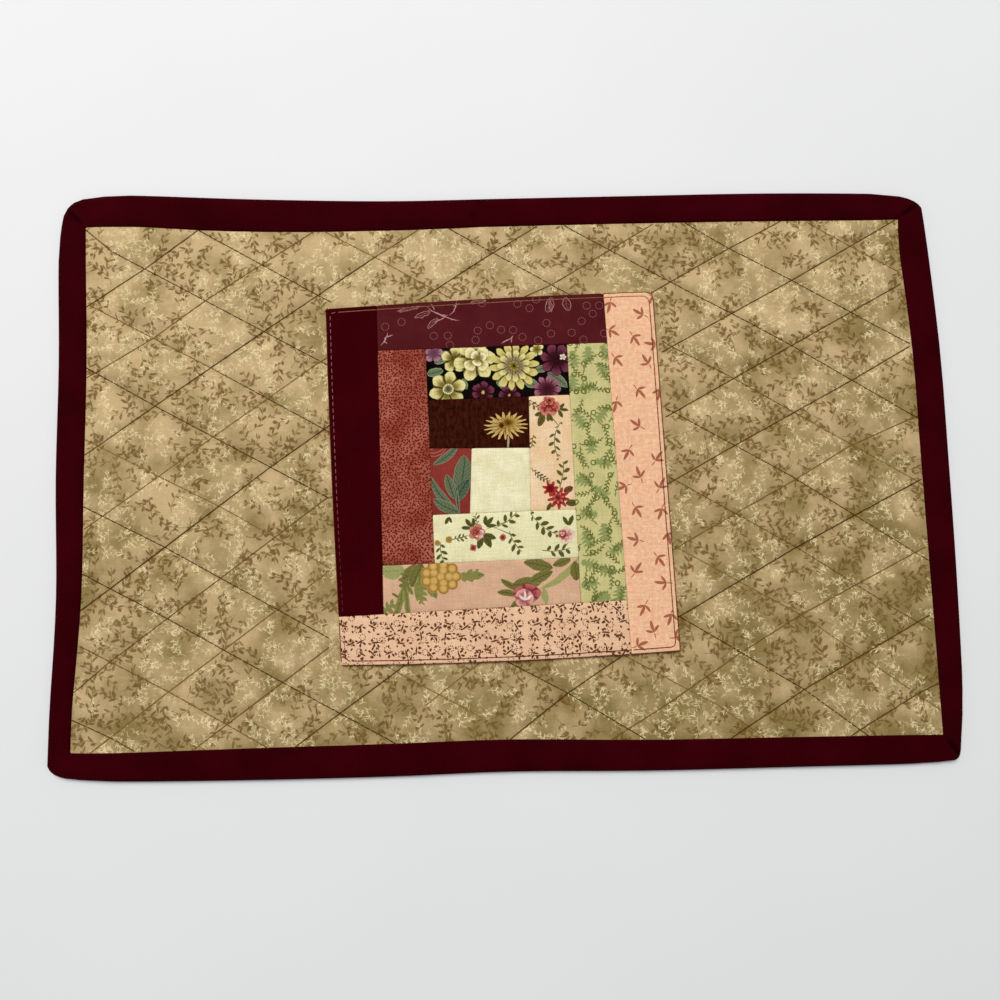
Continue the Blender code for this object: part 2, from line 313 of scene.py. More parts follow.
def draw_leaf():
    """Fill, vein and rim ink of a leaf that starts at its place and points along X."""
    tree, add, given = new_group("leaf", {
        "Place": ORIGIN, "Length": 4.0, "Width": 1.6, "Curl": 0.0}, ["Fill", "Vein", "Rim"])
    x, y, _ = add("SeparateXYZ", given["Place"]).outputs
    t = add("/", x, given["Length"])
    rest = add("-", 1.0, t)
    arch = add("MAXIMUM", add("*", t, rest), 0.0)
    middle = add("*", add("*", arch, given["Curl"]), given["Length"])
    off = add("ABSOLUTE", add("-", y, middle))
    half = add("*", add("*", given["Width"], BROAD), add("POWER", arch, LEAF_ROUNDNESS))
    inside = add("-", half, off)
    fill = add("*", add("MapRange", inside, -0.05, 0.15), add("GREATER_THAN", arch, 0.0))
    rim = add("*", fill, add("MapRange", inside, 0.45, 0.15))
    slant = add("MULTIPLY_ADD", off, RIB_SLANT, x)
    ribs = add("SINE", add("*", slant, 2 * math.pi / RIB_PITCH))
    ribs = add("MapRange", ribs, 0.55, 0.95, 0.0, 0.6)
    stalk = add("MapRange", off, 0.35, 0.08)
    vein = add("*", add("MAXIMUM", ribs, stalk), fill)
    add("NodeGroupOutput", fill, vein, rim)
    return tree


leaf = draw_leaf()
print("leaf:", len(leaf.nodes), "nodes")

# %% [markdown]
# Flowers, roses, rings and clusters are all drawn in polar coordinates, round a middle. A cosine of
# the angle, one wave for each petal, notches the outline and tells a petal's middle from its side.

# %% Draw a flower and a ring
def polar(add, place, squash=1.0):
    """Angle and distance of a place from the middle."""
    flat = add("VectorMath.MULTIPLY", place, add("CombineXYZ", 1.0, squash, 0.0))
    x, y, _ = add("SeparateXYZ", flat).outputs
    return add("ARCTAN2", y, x), add("VectorMath.LENGTH", flat).outputs["Value"]


STREAKS = 5.0            # fine dark lines along each petal


def draw_flower():
    """Petal area, its dark folds, its light tips, and the disc in the middle."""
    tree, add, given = new_group("flower", {
        "Place": ORIGIN, "Radius": 5.0, "Petals": 5.0, "Notch": 0.3, "Disc": 0.25, "Squash": 1.0,
        "Point": 0.5}, ["Petal", "Fold", "Tip", "Disc"])
    angle, distance = polar(add, given["Place"], given["Squash"])
    wave = add("COSINE", add("*", angle, given["Petals"]))
    wave = add("MULTIPLY_ADD", wave, 0.5, 0.5)
    roundness = add("-", 1.0, add("POWER", wave, given["Point"]))
    cut = add("*", given["Notch"], roundness)
    edge = add("*", given["Radius"], add("-", 1.0, cut))
    inside = add("-", edge, distance)
    petal = add("MapRange", inside, -0.05, 0.2)
    share = add("/", distance, edge)
    between_petals = add("MapRange", wave, 0.30, 0.02)
    deep = add("MapRange", share, 0.85, 0.22, 0.0, 0.9)
    streaks = add("SINE", add("*", angle, add("*", given["Petals"], STREAKS)))
    streaks = add("*", add("MapRange", streaks, 0.1, 0.9, 0.0, 0.6),
                  add("MapRange", share, 0.95, 0.55))
    deep = add("MAXIMUM", deep, streaks)
    outline = add("MapRange", inside, 0.34, 0.12, 0.0, 0.8)
    deep = add("MAXIMUM", deep, outline)
    fold = add("*", add("MAXIMUM", between_petals, deep), petal)
    tip = add("*", add("MapRange", share, 0.50, 0.80, 0.0, 0.85), petal)
    marked = add("MAXIMUM", add("MAXIMUM", outline, between_petals), streaks)
    tip = add("*", tip, add("-", 1.0, marked))
    radius = add("*", given["Radius"], given["Disc"])
    disc = add("MapRange", add("-", radius, distance), -0.1, 0.2)
    add("NodeGroupOutput", petal, fold, tip, disc)
    return tree


def draw_ring():
    """Ink of a ring of dots."""
    tree, add, given = new_group("dotted_ring", {
        "Place": ORIGIN, "Radius": 2.0, "Dots": 12.0, "Thickness": 0.35}, ["Ink"])
    angle, distance = polar(add, given["Place"])
    dots = add("MapRange", add("COSINE", add("*", angle, given["Dots"])), -0.5, 0.5)
    off = add("ABSOLUTE", add("-", distance, given["Radius"]))
    line = add("MapRange", add("-", given["Thickness"], off), 0.0, 0.25)
    add("NodeGroupOutput", add("*", dots, line))
    return tree


flower, dotted_ring = draw_flower(), draw_ring()
print("flower:", len(flower.nodes), "nodes; ring:", len(dotted_ring.nodes), "nodes")

# %% [markdown]
# Placed motifs are written as rows of a table: what is drawn, where on the mat, how it is turned,
# its sizes and its inks. They are laid over the cloth's colour in that order, as a printer lays
# screen after screen. Hand drawing is never exact, so the places are first made to waver a little.

# %% Lay motifs over a colour
def turned_place(add, place, x, y, degrees):
    """Places measured from a point of the mat and turned with the motif."""
    local = add("VectorMath.SUBTRACT", place, (x, y, 0.0))
    return add("VectorRotate", local, rotation_type="Z_AXIS", sockets={"Angle": math.radians(-degrees)})


def nearest_of(add, place, points):
    """Places measured from the nearest of a few points (x, y, degrees), turned with it. Drawing a
    motif once, there, is far lighter than drawing it once for each point."""
    best, reach = place, 1e3
    for x, y, degrees in points:
        local = turned_place(add, place, x, y, degrees)
        distance = add("VectorMath.LENGTH", local).outputs["Value"]
        best = add("Mix", add("LESS_THAN", distance, reach), best, local, data_type="VECTOR")
        reach = add("MINIMUM", distance, reach)
    return best


def print_one(add, local, colour, motif, sizes, inks):
    """Lay a motif over a colour, ink by ink."""
    drawn = add("Group", node_tree=motif, sockets={"Place": local, **sizes})
    for output, ink in inks.items():
        colour = add("Mix", drawn.outputs[output], colour, ink, data_type="RGBA")
    return colour


def wavering(add, place, amount, wavelength):
    """Places moved a little by noise, so that printed lines look drawn by hand."""
    drift = add("TexNoise", place, 1 / wavelength, 3.0).outputs["Color"]
    drift = add("VectorMath.SUBTRACT", drift, (0.5, 0.5, 0.5))
    flat = add("VectorMath.MULTIPLY", drift, (2 * amount, 2 * amount, 0.0))
    return add("VectorMath.ADD", place, flat)

# %% [markdown]
# Sprigs are strewn by scattered points (a Voronoi pattern): each point's own patch of the plane
# gets one sprig, turned by the point's random colour.

# %% Strew copies of a motif
def offset_of(seed):
    """Where a layer's scattered points start, so that no two seeds share them."""
    return (37.3 * seed, 71.9 * seed, 0.0)


def strewn(add, place, spacing, seed, jitter=0.7):
    """Places measured from the nearest of many scattered points and turned at random, and that
    point. Lengths are millimetres."""
    moved = add("VectorMath.ADD", place, offset_of(seed))
    cells = add("TexVoronoi", moved, voronoi_dimensions="2D",
                sockets={"Scale": 1 / spacing, "Randomness": jitter})
    local = add("VectorMath.SUBTRACT", moved, cells.outputs["Position"])
    angle = add("*", add("SeparateColor", cells.outputs["Color"]), 2 * math.pi)
    turned = add("VectorRotate", local, rotation_type="Z_AXIS", sockets={"Angle": angle})
    return turned, cells.outputs["Position"]

# %% [markdown]
# ## Cotton
# Every cloth here is quilting cotton: a plain weave of matt threads, printed with dye that sinks
# in, so the ink changes the colour but not the roughness. At this distance the eye gets a soft,
# slightly grainy surface without shine, and single threads show only from close by.

# %% Finish a cotton cloth
# Real threads lie 0.35 mm apart, finer than the picture can hold, so the weave is drawn coarser.
THREAD, WEAVE_DEPTH = 0.9, 0.05          # millimetres from thread to thread, and of relief
GRAIN = 0.8                              # millimetres across one fleck of uneven dye
COTTON_ROUGHNESS, COTTON_SHINE = 0.88, 0.02


def finish_cotton(add, place, colour, tone):
    """Weave a colour into cotton: thread tone, painted shade and highlight on the weave, bump and
    shader.
    """
    weave = add("Group", node_tree=plain_weave, sockets={"Place": place, "Thread": THREAD})
    shade = add("MapRange", weave.outputs["Tone"], 0.6, 1.4, 1.0 - tone, 1.0 + tone)
    # painted shade where a thread dips under, and a faint painted highlight where it rises over
    dips = add("MapRange", weave.outputs["Height"], 0.0, 1.0, 1.0 - 0.4 * tone, 1.0 + 0.2 * tone)
    shade = add("*", shade, dips)
    grain = add("TexNoise", place, 1 / GRAIN, 1.0)
    grain = add("MapRange", grain, 0.3, 0.7, 1.0 - 0.7 * tone, 1.0 + 0.7 * tone)
    woven = add("VectorMath.SCALE", colour, add("*", shade, grain))
    relief = add("Bump", sockets={"Strength": 0.6, "Distance": WEAVE_DEPTH * MM,
                                  "Height": weave.outputs["Height"]})
    add("OutputMaterial", add("BsdfPrincipled", woven, sockets={
        "Roughness": COTTON_ROUGHNESS, "Specular IOR Level": COTTON_SHINE, "Normal": relief}))


def millimetres(add):
    """Places on the finished mat, in millimetres."""
    return add("VectorMath.SCALE", add("TexCoord").outputs["Object"], 1 / MM)

# %% [markdown]
# ## The ground print
# The panel's cotton is mottled between tan and olive, and printed with two kinds of sprig: broad
# brown leaves and fine cream ones. They take turns over the cloth in soft drifts, which one slow
# noise decides: brown where it is high, cream where it is low. A second one fades the cream.

# %% Dress the panel
TAN, OLIVE, SHADED_ROW = "#CBB082", "#8E7A4A", "#6A4A1C"
CLOUD_WIDTH, DRIFT_WIDTH, FADING_WIDTH = 22, 26, 3.5        # millimetres
# painted shade: the light is weaker towards the right and near side, so the cloth is darker there
DARKENING = (0.00020, -0.00050, 0.0)     # the cloth is a little darker to the right and near side
# ink, how strong, the drift above which it is printed (or below, where negative), seed, spacing,
# half length, pitch, leaf length and width, spread of the leaves, bend of the stem
GROUND_SPRIGS = [
    ("#6E5428", 0.85, 0.480, 1, 13.5, 7.5, 4.2, 3.7, 1.60, 0.70, 0.050),
    ("#785E30", 0.80, 0.480, 2, 12.5, 7.0, 4.0, 3.5, 1.50, 0.90, -0.050),
    ("#745A2C", 0.75, 0.480, 3, 11.5, 6.5, 3.9, 3.3, 1.45, 0.60, 0.060),
    ("#F6E4B2", 0.90, -0.500, 4, 9.5, 4.8, 2.7, 2.4, 0.75, 0.70, 0.070),
    ("#F6E4B2", 0.85, -0.500, 5, 9.0, 4.5, 2.4, 2.1, 0.70, 1.00, -0.080),
    ("#EAD6A2", 0.80, -0.500, 6, 8.0, 4.0, 2.3, 2.0, 0.65, 0.60, 0.060),
]


def dress_panel():
    """Mottled ground, brown and cream sprigs in drifts, and painted shade near right and along rows."""
    material, add = new_material("printed_quilting_cotton")
    place = millimetres(add)
    cloud = add("TexNoise", place, 1 / CLOUD_WIDTH, 5.0, 0.6)
    # painted shade towards the near right, which turns the mottling more olive there
    painted_falloff = add("VectorMath.DOT_PRODUCT", place, DARKENING).outputs["Value"]
    cloud = add("MapRange", add("+", cloud, painted_falloff), 0.36, 0.67)
    colour = add("Mix", cloud, TAN, OLIVE, data_type="RGBA")
    drawn_by_hand = wavering(add, place, 1.6, 9.0)
    fading = add("TexNoise", place, 1 / FADING_WIDTH, 2.0)
    faded = add("MapRange", fading, 0.38, 0.58, 0.35, 1.0)
    for ink, strength, edge, seed, spacing, half, pitch, long, wide, spread, bend in GROUND_SPRIGS:
        local, point = strewn(add, drawn_by_hand, spacing, seed)
        sown_at = add("VectorMath.SUBTRACT", point, offset_of(seed))
        drift = add("TexNoise", sown_at, 1 / DRIFT_WIDTH, 1.0)
        brown = edge > 0
        here = add("GREATER_THAN" if brown else "LESS_THAN", drift, abs(edge))
        drawn = add("Group", node_tree=sprig, sockets={
            "Place": local, "Bend": bend, "Half Length": half, "Pitch": pitch,
            "Leaf Length": long, "Leaf Width": wide, "Spread": spread, "Stagger": 0.10,
            "Stem Width": 0.38 if brown else 0.30})
        ink_here = add("MAXIMUM", drawn.outputs["Leaf"], add("*", drawn.outputs["Stem"], 0.75))
        ink_here = add("*", add("*", ink_here, here), strength)
        ink_here = ink_here if brown else add("*", ink_here, faded)
        colour = add("Mix", ink_here, colour, ink, data_type="RGBA")
    # painted shade along the quilting rows, from the panel's vertex attribute
    row_shade_here = add("Attribute", attribute_name="painted_row_shade").outputs["Fac"]
    colour = add("Mix", row_shade_here, colour, SHADED_ROW, data_type="RGBA")
    finish_cotton(add, place, colour, tone=0.07)
    return material


panel_cotton = dress_panel()
print("panel cotton:", len(panel_cotton.node_tree.nodes), "nodes")

# %% [markdown]
# ## Where the quilting runs
# Straight rows of machine stitching cross the panel in two slanting directions and hold its layers
# together. They run under the block, which is sewn on afterwards. Some rows are pulled tight and
# show dark; others sink into the print. The routes are listed in millimetres.

# %% Quilting routes
# how dark the thread shows, as (x, share) pairs from left to right, and the points of the row
QUILTING_ROWS = [
    ([(-85, 1), (85, 0.3)],
     [(-217.6, 132.5), (-203.3, 120.3), (-90.8, 57.8), (86.3, -40), (150, -76.5), (217, -125)]),
    ([(-85, 1), (85, 0.6)],
     [(-158.5, 131.5), (-95.4, 95), (84.4, -3.8), (150, -42.5), (198.8, -75), (217, -86)]),
    ([(-160, 0.45), (-130, 1)],
     [(-214.5, 91.5), (-150.4, 56.9), (-88.9, 21.9), (87.5, -75.6), (148.8, -113.1), (180.6, -137.3)]),
    ([(-85, 1), (85, 0.3)],
     [(-214.3, 57.8), (-178.9, 37.3), (-119.3, 4.4), (-87.6, -13.1), (105, -120), (128.8, -137.1)]),
    ([(-85, 0.3), (-40, 1)],
     [(-213.9, 20.3), (-142, -16.9), (-85.8, -49.4), (0.6, -96.5), (30, -112.3), (69.4, -136.5)]),
    ([(-95, 1), (-70, 0.4), (-20, 0.25), (-10, 0)],
     [(-214.3, -13.8), (-172, -35.6), (-84.5, -85.3), (-58.8, -98.1), (-10, -125), (10, -135.3)]),
    ([(0, 1)],
     [(-213.3, -48.1), (-170.1, -71.3), (-113, -103.5), (-54.8, -135.5)]),
    ([(0, 0.5)],
     [(-213, -84), (-168.3, -107.3), (-117.6, -136.3)]),
    ([(0, 0.9)],
     [(-215.8, -119.8), (-198.3, -128.1), (-182.6, -136.5)]),
    ([(-38, 0.3), (85, 0.9)],
     [(-93.8, 130.6), (-63.8, 114.4), (-38.1, 99), (83.8, 32.5), (148.1, -4.8), (217, -50.3)]),
    ([(50, 1), (90, 0.65), (150, 0.6), (165, 0.35)],
     [(-28.1, 131.5), (-3.1, 116.9), (40, 91.5), (82.5, 68.5), (120, 47.5), (217, -11)]),
    ([(-85, 0.5), (85, 1)],
     [(35, 131.3), (60, 116.9), (90.6, 99.4), (130, 77.3), (152.9, 64), (217, 23.8)]),
    ([(0, 1)],
     [(98.8, 132.3), (122.5, 117.5), (155, 99.4), (217, 62.9)]),
    ([(0, 0.4)],
     [(164, 131.6), (188.8, 116.9), (213.5, 102.3)]),
    ([(0, 0.7)],
     [(-215.8, 90.3), (-185.1, 111.5), (-158.5, 131.5)]),
    ([(0, 0.3)],
     [(-214.5, 52.5), (-180.8, 73.1), (-152, 94.4), (-97, 130.3)]),
    ([(-180, 0.7), (-150, 0.85), (-70, 0.85), (-58, 0.4)],
     [(-214.3, 11.9), (-178.9, 37.3), (-123.3, 76), (-95.4, 95), (-63.8, 116.5), (-40.6, 131)]),
    ([(-85, 0.2), (-60, 0.9), (-3, 0.9), (10, 0.6)],
     [(-212.6, -25.6), (-178.3, -1), (-147.6, 21.3), (-95.8, 58.1), (-46.3, 89), (-3.1, 116.9),
      (21.3, 131.5)]),
    ([(-85, 0.9), (85, 0.4)],
     [(-213.5, -66.9), (-172, -35.6), (-119.3, 4.4), (-89.5, 25.3), (13.1, 92.5), (27.5, 98.8),
      (82.5, 131.5)]),
    ([(-85, 0.6), (85, 0.7)],
     [(-214.5, -106.3), (-198.3, -92.5), (-143, -51.3), (-87.6, -10), (81.3, 94.4), (122.5, 117.5),
      (151.3, 132.3)]),
    ([(-85, 0.25), (85, 0.8)],
     [(-205.8, -136), (-168.3, -107.3), (-119.5, -71.3), (-85.8, -46.9), (82.5, 60.6), (155, 99.4),
      (212.5, 131.9)]),
    ([(-85, 0.5), (85, 0.85)],
     [(-154.5, -135), (-140.1, -124.4), (-84.5, -84), (83.8, 26.3), (152.9, 64), (214.4, 97.3)]),
    ([(-85, 0.9), (85, 0.85)],
     [(-106.4, -136), (-83.3, -119.5), (-50.6, -96.5), (84.4, -8.1), (120, 11.3), (183.8, 45),
      (215.9, 62.9)]),
    ([(-40, 0), (-20, 0.1), (85, 0.4)],
     [(-66.8, -136), (-27.4, -106.5), (-4.6, -89.9), (85.5, -42), (121.3, -22.5), (150, -7.3),
      (180, 10), (216.3, 25.3)]),
    ([(-85, 0.9), (85, 1)],
     [(-0.6, -135), (30, -112.3), (59.4, -93.5), (87.5, -75.6), (150, -41.3), (217, -7.5)]),
    ([(-85, 0.3), (85, 0.5)],
     [(50.6, -135.6), (77.5, -120), (117.5, -94.4), (150, -75.6), (216.3, -42.5)]),
    ([(0, 0.9)],
     [(108.8, -137.1), (148.8, -113.1), (217, -76.3)]),
    ([(0, 0.8)],
     [(169.4, -136.9), (205, -116.9), (217, -111.3)]),
]
row_lengths = [length_of(np.array(points)) for _, points in QUILTING_ROWS]
print(len(row_lengths), "rows,", round(sum(row_lengths)), "mm of stitching")

# %% [markdown]
# Where does a row pull the cloth down? For every place on the panel the nearest row is looked up,
# and how tightly that row is sewn there. Grooves, puffs and the painted row shade follow from it.

# %% Distance to the rows
PHOTO_MIDDLE = np.array((0.077, 0.213))    # the routes and the camera are measured from this point


def tightness_at(tones, x):
    """How tight and dark a row is at x, from its (x, share) pairs."""
    return np.interp(x, *zip(*tones))


def nearest_row(places):
    """Distance in millimetres to the nearest quilting row, and its tightness there."""
    distance, tightness = np.full(len(places), 1e3), np.zeros(len(places))
    for tones, route in QUILTING_ROWS:
        points = np.array(route) - PHOTO_MIDDLE
        for start, end in zip(points, points[1:]):
            reach = end - start
            share = np.clip((places - start) @ reach / (reach @ reach), 0, 1)
            away = np.hypot(*(places - start - share[:, None] * reach).T)
            closer = away < distance
            distance[closer] = away[closer]
            tightness[closer] = tightness_at(tones, places[closer, 0])
    return distance, tightness

# %% [markdown]
# ## The quilted panel
# The panel is a sandwich of printed cotton, thin wadding and backing. Cloth simulation could swell
# it, but the swelling is half a millimetre and the rows are known, so each vertex of a fine grid is
# raised or lowered by its distance to a row. A copy of the grid is the back, and the rims of both
# are merged.

# %% Panel heights
# all in millimetres
PANEL_STEP = 1.6                               # between the grid's lines
BINDING_WIDTH, TUCK = 14.5, 3.0                # seam to edge, and how much of it the panel fills
ROW_HEIGHT, BACK_HEIGHT = 2.35, 0.04           # of the printed side at a row, of the back between rows
BLOCK_BED, BINDING_BED, BACK_TUCKED = 2.6, 2.55, 1.4    # pressed flat under the block and binding
RIM_HEIGHT = 2.0                               # where the front and the back meet
PUFF_HEIGHT, PUFF_REACH = 0.85, 5.0            # and how soon a puff rises beside its row
GROOVE_WIDTH, BACK_GROOVE_WIDTH, SHADE_WIDTH = 1.3, 2.2, 1.9
GROOVE_DEPTH, TIGHT_GROOVE_DEPTH = 0.12, 0.38  # of a loose row, and how much deeper a tight one is
BACK_GROOVE_DEPTH, TIGHT_BACK_GROOVE_DEPTH = 0.36, 0.20
PUCKER_HEIGHT, PUCKER_LENGTH, PUCKER_REACH = 0.16, 4.0, 3.5
SWELL_HEIGHT, SWELL_LENGTH = 0.22, 28.0        # the whole mat's slow unevenness
LOOSE_PULL = 0.3                               # share of a tight row's pull that every row has
ROW_SHADE = 0.13                               # how much darker the cloth is along a row
PRESSED_BLOCK, PRESSED_SEAM = 4.0, 5.0         # the puffs flatten this far from the block, the seam


def between(inner, outer, share):
    """Four sides part of the way from the inner ones to the outer ones."""
    steps = np.linspace(0, 1, 400)
    return {name: (1 - share) * along(inner[name], steps) + share * along(outer[name], steps)
            for name in inner}


def ease(value, low, high):
    """0 at low, 1 at high, and smooth between them."""
    t = np.clip((value - low) / (high - low), 0, 1)
    return t * t * (3 - 2 * t)


def bump_at(off, width):
    """1 on a line and nothing beyond about twice the width."""
    return np.exp(-(off / width) ** 2)


STRIPS = [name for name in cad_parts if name.startswith("strip")]
block_low = np.min([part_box(name)[0] for name in STRIPS], axis=0)[:2] / MM
block_high = np.max([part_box(name)[1] for name in STRIPS], axis=0)[:2] / MM
print("block from", block_low.round(1), "to", block_high.round(1))


def panel_top(places, from_seam):
    """Height of the printed cotton: puffs, grooves, puckers, flat under the block and binding."""
    away, tightness = nearest_row(places)
    puff = 1 - np.exp(-away / PUFF_REACH)
    groove = bump_at(away, GROOVE_WIDTH)
    pucker = unevenness(places, PUCKER_LENGTH, 3.0) * np.exp(-away / PUCKER_REACH)
    pucker *= LOOSE_PULL + tightness
    height = ROW_HEIGHT + PUFF_HEIGHT * puff - (GROOVE_DEPTH + TIGHT_GROOVE_DEPTH * tightness) * groove
    height += PUCKER_HEIGHT * pucker + SWELL_HEIGHT * unevenness(places, SWELL_LENGTH, 5.0)
    inside_block = np.min(np.hstack([places - block_low, block_high - places]), axis=1)
    under = ease(inside_block, 0.0, PRESSED_BLOCK)
    height = height * (1 - under) + BLOCK_BED * under
    hemmed = 1 - ease(from_seam, 0.0, PRESSED_SEAM)
    return height * (1 - hemmed) + BINDING_BED * hemmed


def panel_back(places, from_seam):
    """Height of the backing: it lies on the table, lifted a little along the rows."""
    away, tightness = nearest_row(places)
    groove = bump_at(away, BACK_GROOVE_WIDTH)
    height = BACK_HEIGHT + (BACK_GROOVE_DEPTH + TIGHT_BACK_GROOVE_DEPTH * tightness) * groove
    lifted = 1 - ease(from_seam, -0.4, 1.0)
    return height * (1 - lifted) + BACK_TUCKED * lifted

# %% Make the panel
def make_panel():
    """Front and back grids, merged along the rim inside the binding."""
    width = np.mean([length_of(seam_sides[name]) for name in ("near", "far")])
    depth = np.mean([length_of(seam_sides[name]) for name in ("left", "right")])
    tucked_sides = between(seam_sides, outer_sides, TUCK / BINDING_WIDTH)
    cloth, u, v = grid_shares(round(width / PANEL_STEP), round(depth / PANEL_STEP))
    painted_row_shade = cloth.verts.layers.float.new("painted_row_shade")
    places = fitted_places(tucked_sides, u, v)
    from_seam = np.minimum(np.minimum(u, 1 - u) * (width + 2 * TUCK),
                           np.minimum(v, 1 - v) * (depth + 2 * TUCK)) - TUCK
    rim = from_seam < -TUCK + 0.01
    front = list(cloth.verts)
    away, tightness = nearest_row(places)
    # painted shade along the rows, where the grooves lie in shadow
    shading = ROW_SHADE * bump_at(away, SHADE_WIDTH) * (LOOSE_PULL + tightness)
    for vertex, shade in zip(front, shading):
        vertex[painted_row_shade] = shade
    copied = bmesh.ops.duplicate(cloth, geom=cloth.verts[:] + cloth.edges[:] + cloth.faces[:])
    back = [copied["vert_map"][vertex] for vertex in front]
    for face in [part for part in copied["geom"] if isinstance(part, bmesh.types.BMFace)]:
        face.material_index = 1
    place_vertices(front, places, np.where(rim, RIM_HEIGHT, panel_top(places, from_seam)))
    place_vertices(back, places, np.where(rim, RIM_HEIGHT, panel_back(places, from_seam)))
    bmesh.ops.remove_doubles(cloth, verts=cloth.verts, dist=0.0001 * MM)
    # The front and back quads of a corner share three points of the rim, so they are split at it.
    for corner in [vertex for vertex in cloth.verts if len(vertex.link_edges) == 2]:
        for face in list(corner.link_faces):
            at = list(face.verts).index(corner)
            bmesh.utils.face_split(face, corner, face.verts[(at + 2) % 4])
    return smooth_piece("quilted_cloth", cloth, panel_cotton), width, depth


quilted_cloth, panel_width, panel_depth = make_panel()
print("panel", round(panel_width), "x", round(panel_depth), "mm,",
      len(quilted_cloth.data.polygons), "faces")

# %% [markdown]
# ## The binding
# A long strip of burgundy cotton is folded round the edge and stitched down near the seam. Its
# section is the same all the way, so it could be swept along a curve, but its width changes along
# the edge. So a long grid is bent round: one way it runs round the mat, the other way it follows
# the folded section from the seam over the edge to the back. Solidify gives it its thickness.

# %% Binding section and route
# share of the way from seam to edge, and height in millimetres
BINDING_SECTION = [
    (-0.030, 2.70), (-0.025, 3.00), (0.005, 3.28), (0.06, 3.50), (0.14, 3.70), (0.26, 3.88),
    (0.42, 3.98), (0.62, 3.98), (0.78, 3.86), (0.88, 3.58), (0.95, 3.10), (0.99, 2.55),
    (1.00, 2.00), (0.99, 1.40), (0.95, 0.80), (0.88, 0.36), (0.76, 0.12), (0.50, 0.05),
    (0.20, 0.05), (0.03, 0.10), (-0.02, 0.40)]
BINDING_THICKNESS = 0.7
ROUND_THE_MAT = [("near", False), ("right", False), ("far", True), ("left", True)]   # side, backwards
STATIONS = {"near": 260, "right": 180, "far": 260, "left": 180}
ACROSS = 30
MITRED_CORNERS = [("near", -1), ("far", -1), ("far", 0)]   # side and its end; the fourth is blunt
JOIN_LINE = ((-14.5, 134.0), (-8.0, 151.0))                # where the strip's two ends are sewn
NEAR_A_FOLD = 25.0           # a mitre is pressed in only this close to its own line
CROWDING = 0.75              # how much closer together the stations are near a corner, from 0 to 1


def binding_stations():
    """Seam and edge points round the mat, counter-clockwise, closer together near corners."""
    seam, edge = [], []
    for name, backwards in ROUND_THE_MAT:
        t = np.linspace(0, 1, STATIONS[name] + 1)[:-1]
        share = t - CROWDING * np.sin(2 * math.pi * t) / (2 * math.pi)
        share = 1 - share if backwards else share
        seam.append(along(seam_sides[name], share))
        edge.append(along(outer_sides[name], share))
    seam, edge = np.vstack(seam), np.vstack(edge)
    return np.vstack([seam, seam[:1]]), np.vstack([edge, edge[:1]])


def from_line(places, start, end):
    """Signed distance from a line, and how far along it, as a share."""
    reach = np.subtract(end, start)
    way = reach / np.hypot(*reach)
    off = places - start
    return off[:, 0] * way[1] - off[:, 1] * way[0], off @ way / np.hypot(*reach)

# %% [markdown]
# The fold is full of small unevenness: puckers where it is stitched, a crease and a step at each
# mitre, where one end of the strip tucks under the other, and a slanting seam at the join. Each is
# pressed in by distance to its line, and a vertex attribute carries painted shade into it.

# %% Make the binding
# all in millimetres
WAVE_HEIGHT, WAVE_LENGTH = 0.30, 16.0              # of the whole fold
SEWN_AT, SEWN_WIDTH, PUCKER_SPACING = 1.6, 1.6, 7.0    # where it is stitched down, from the seam
SEWN_DEPTH, PUCKER_DEPTH = 0.12, 0.35
CREASE_DEPTH, CREASE_WIDTH = 0.75, 1.1             # at a mitre
UPPER_STEP, LOWER_STEP, STEP_REACH = 0.35, -0.15, 5.0  # beside a mitre; it fades out beyond its reach
JOIN_DEPTH, JOIN_WIDTH, JOIN_SHADE_WIDTH = 0.4, 0.6, 0.8
JOIN_SIDE = 120.0                                  # the join lies beyond this, on the far side


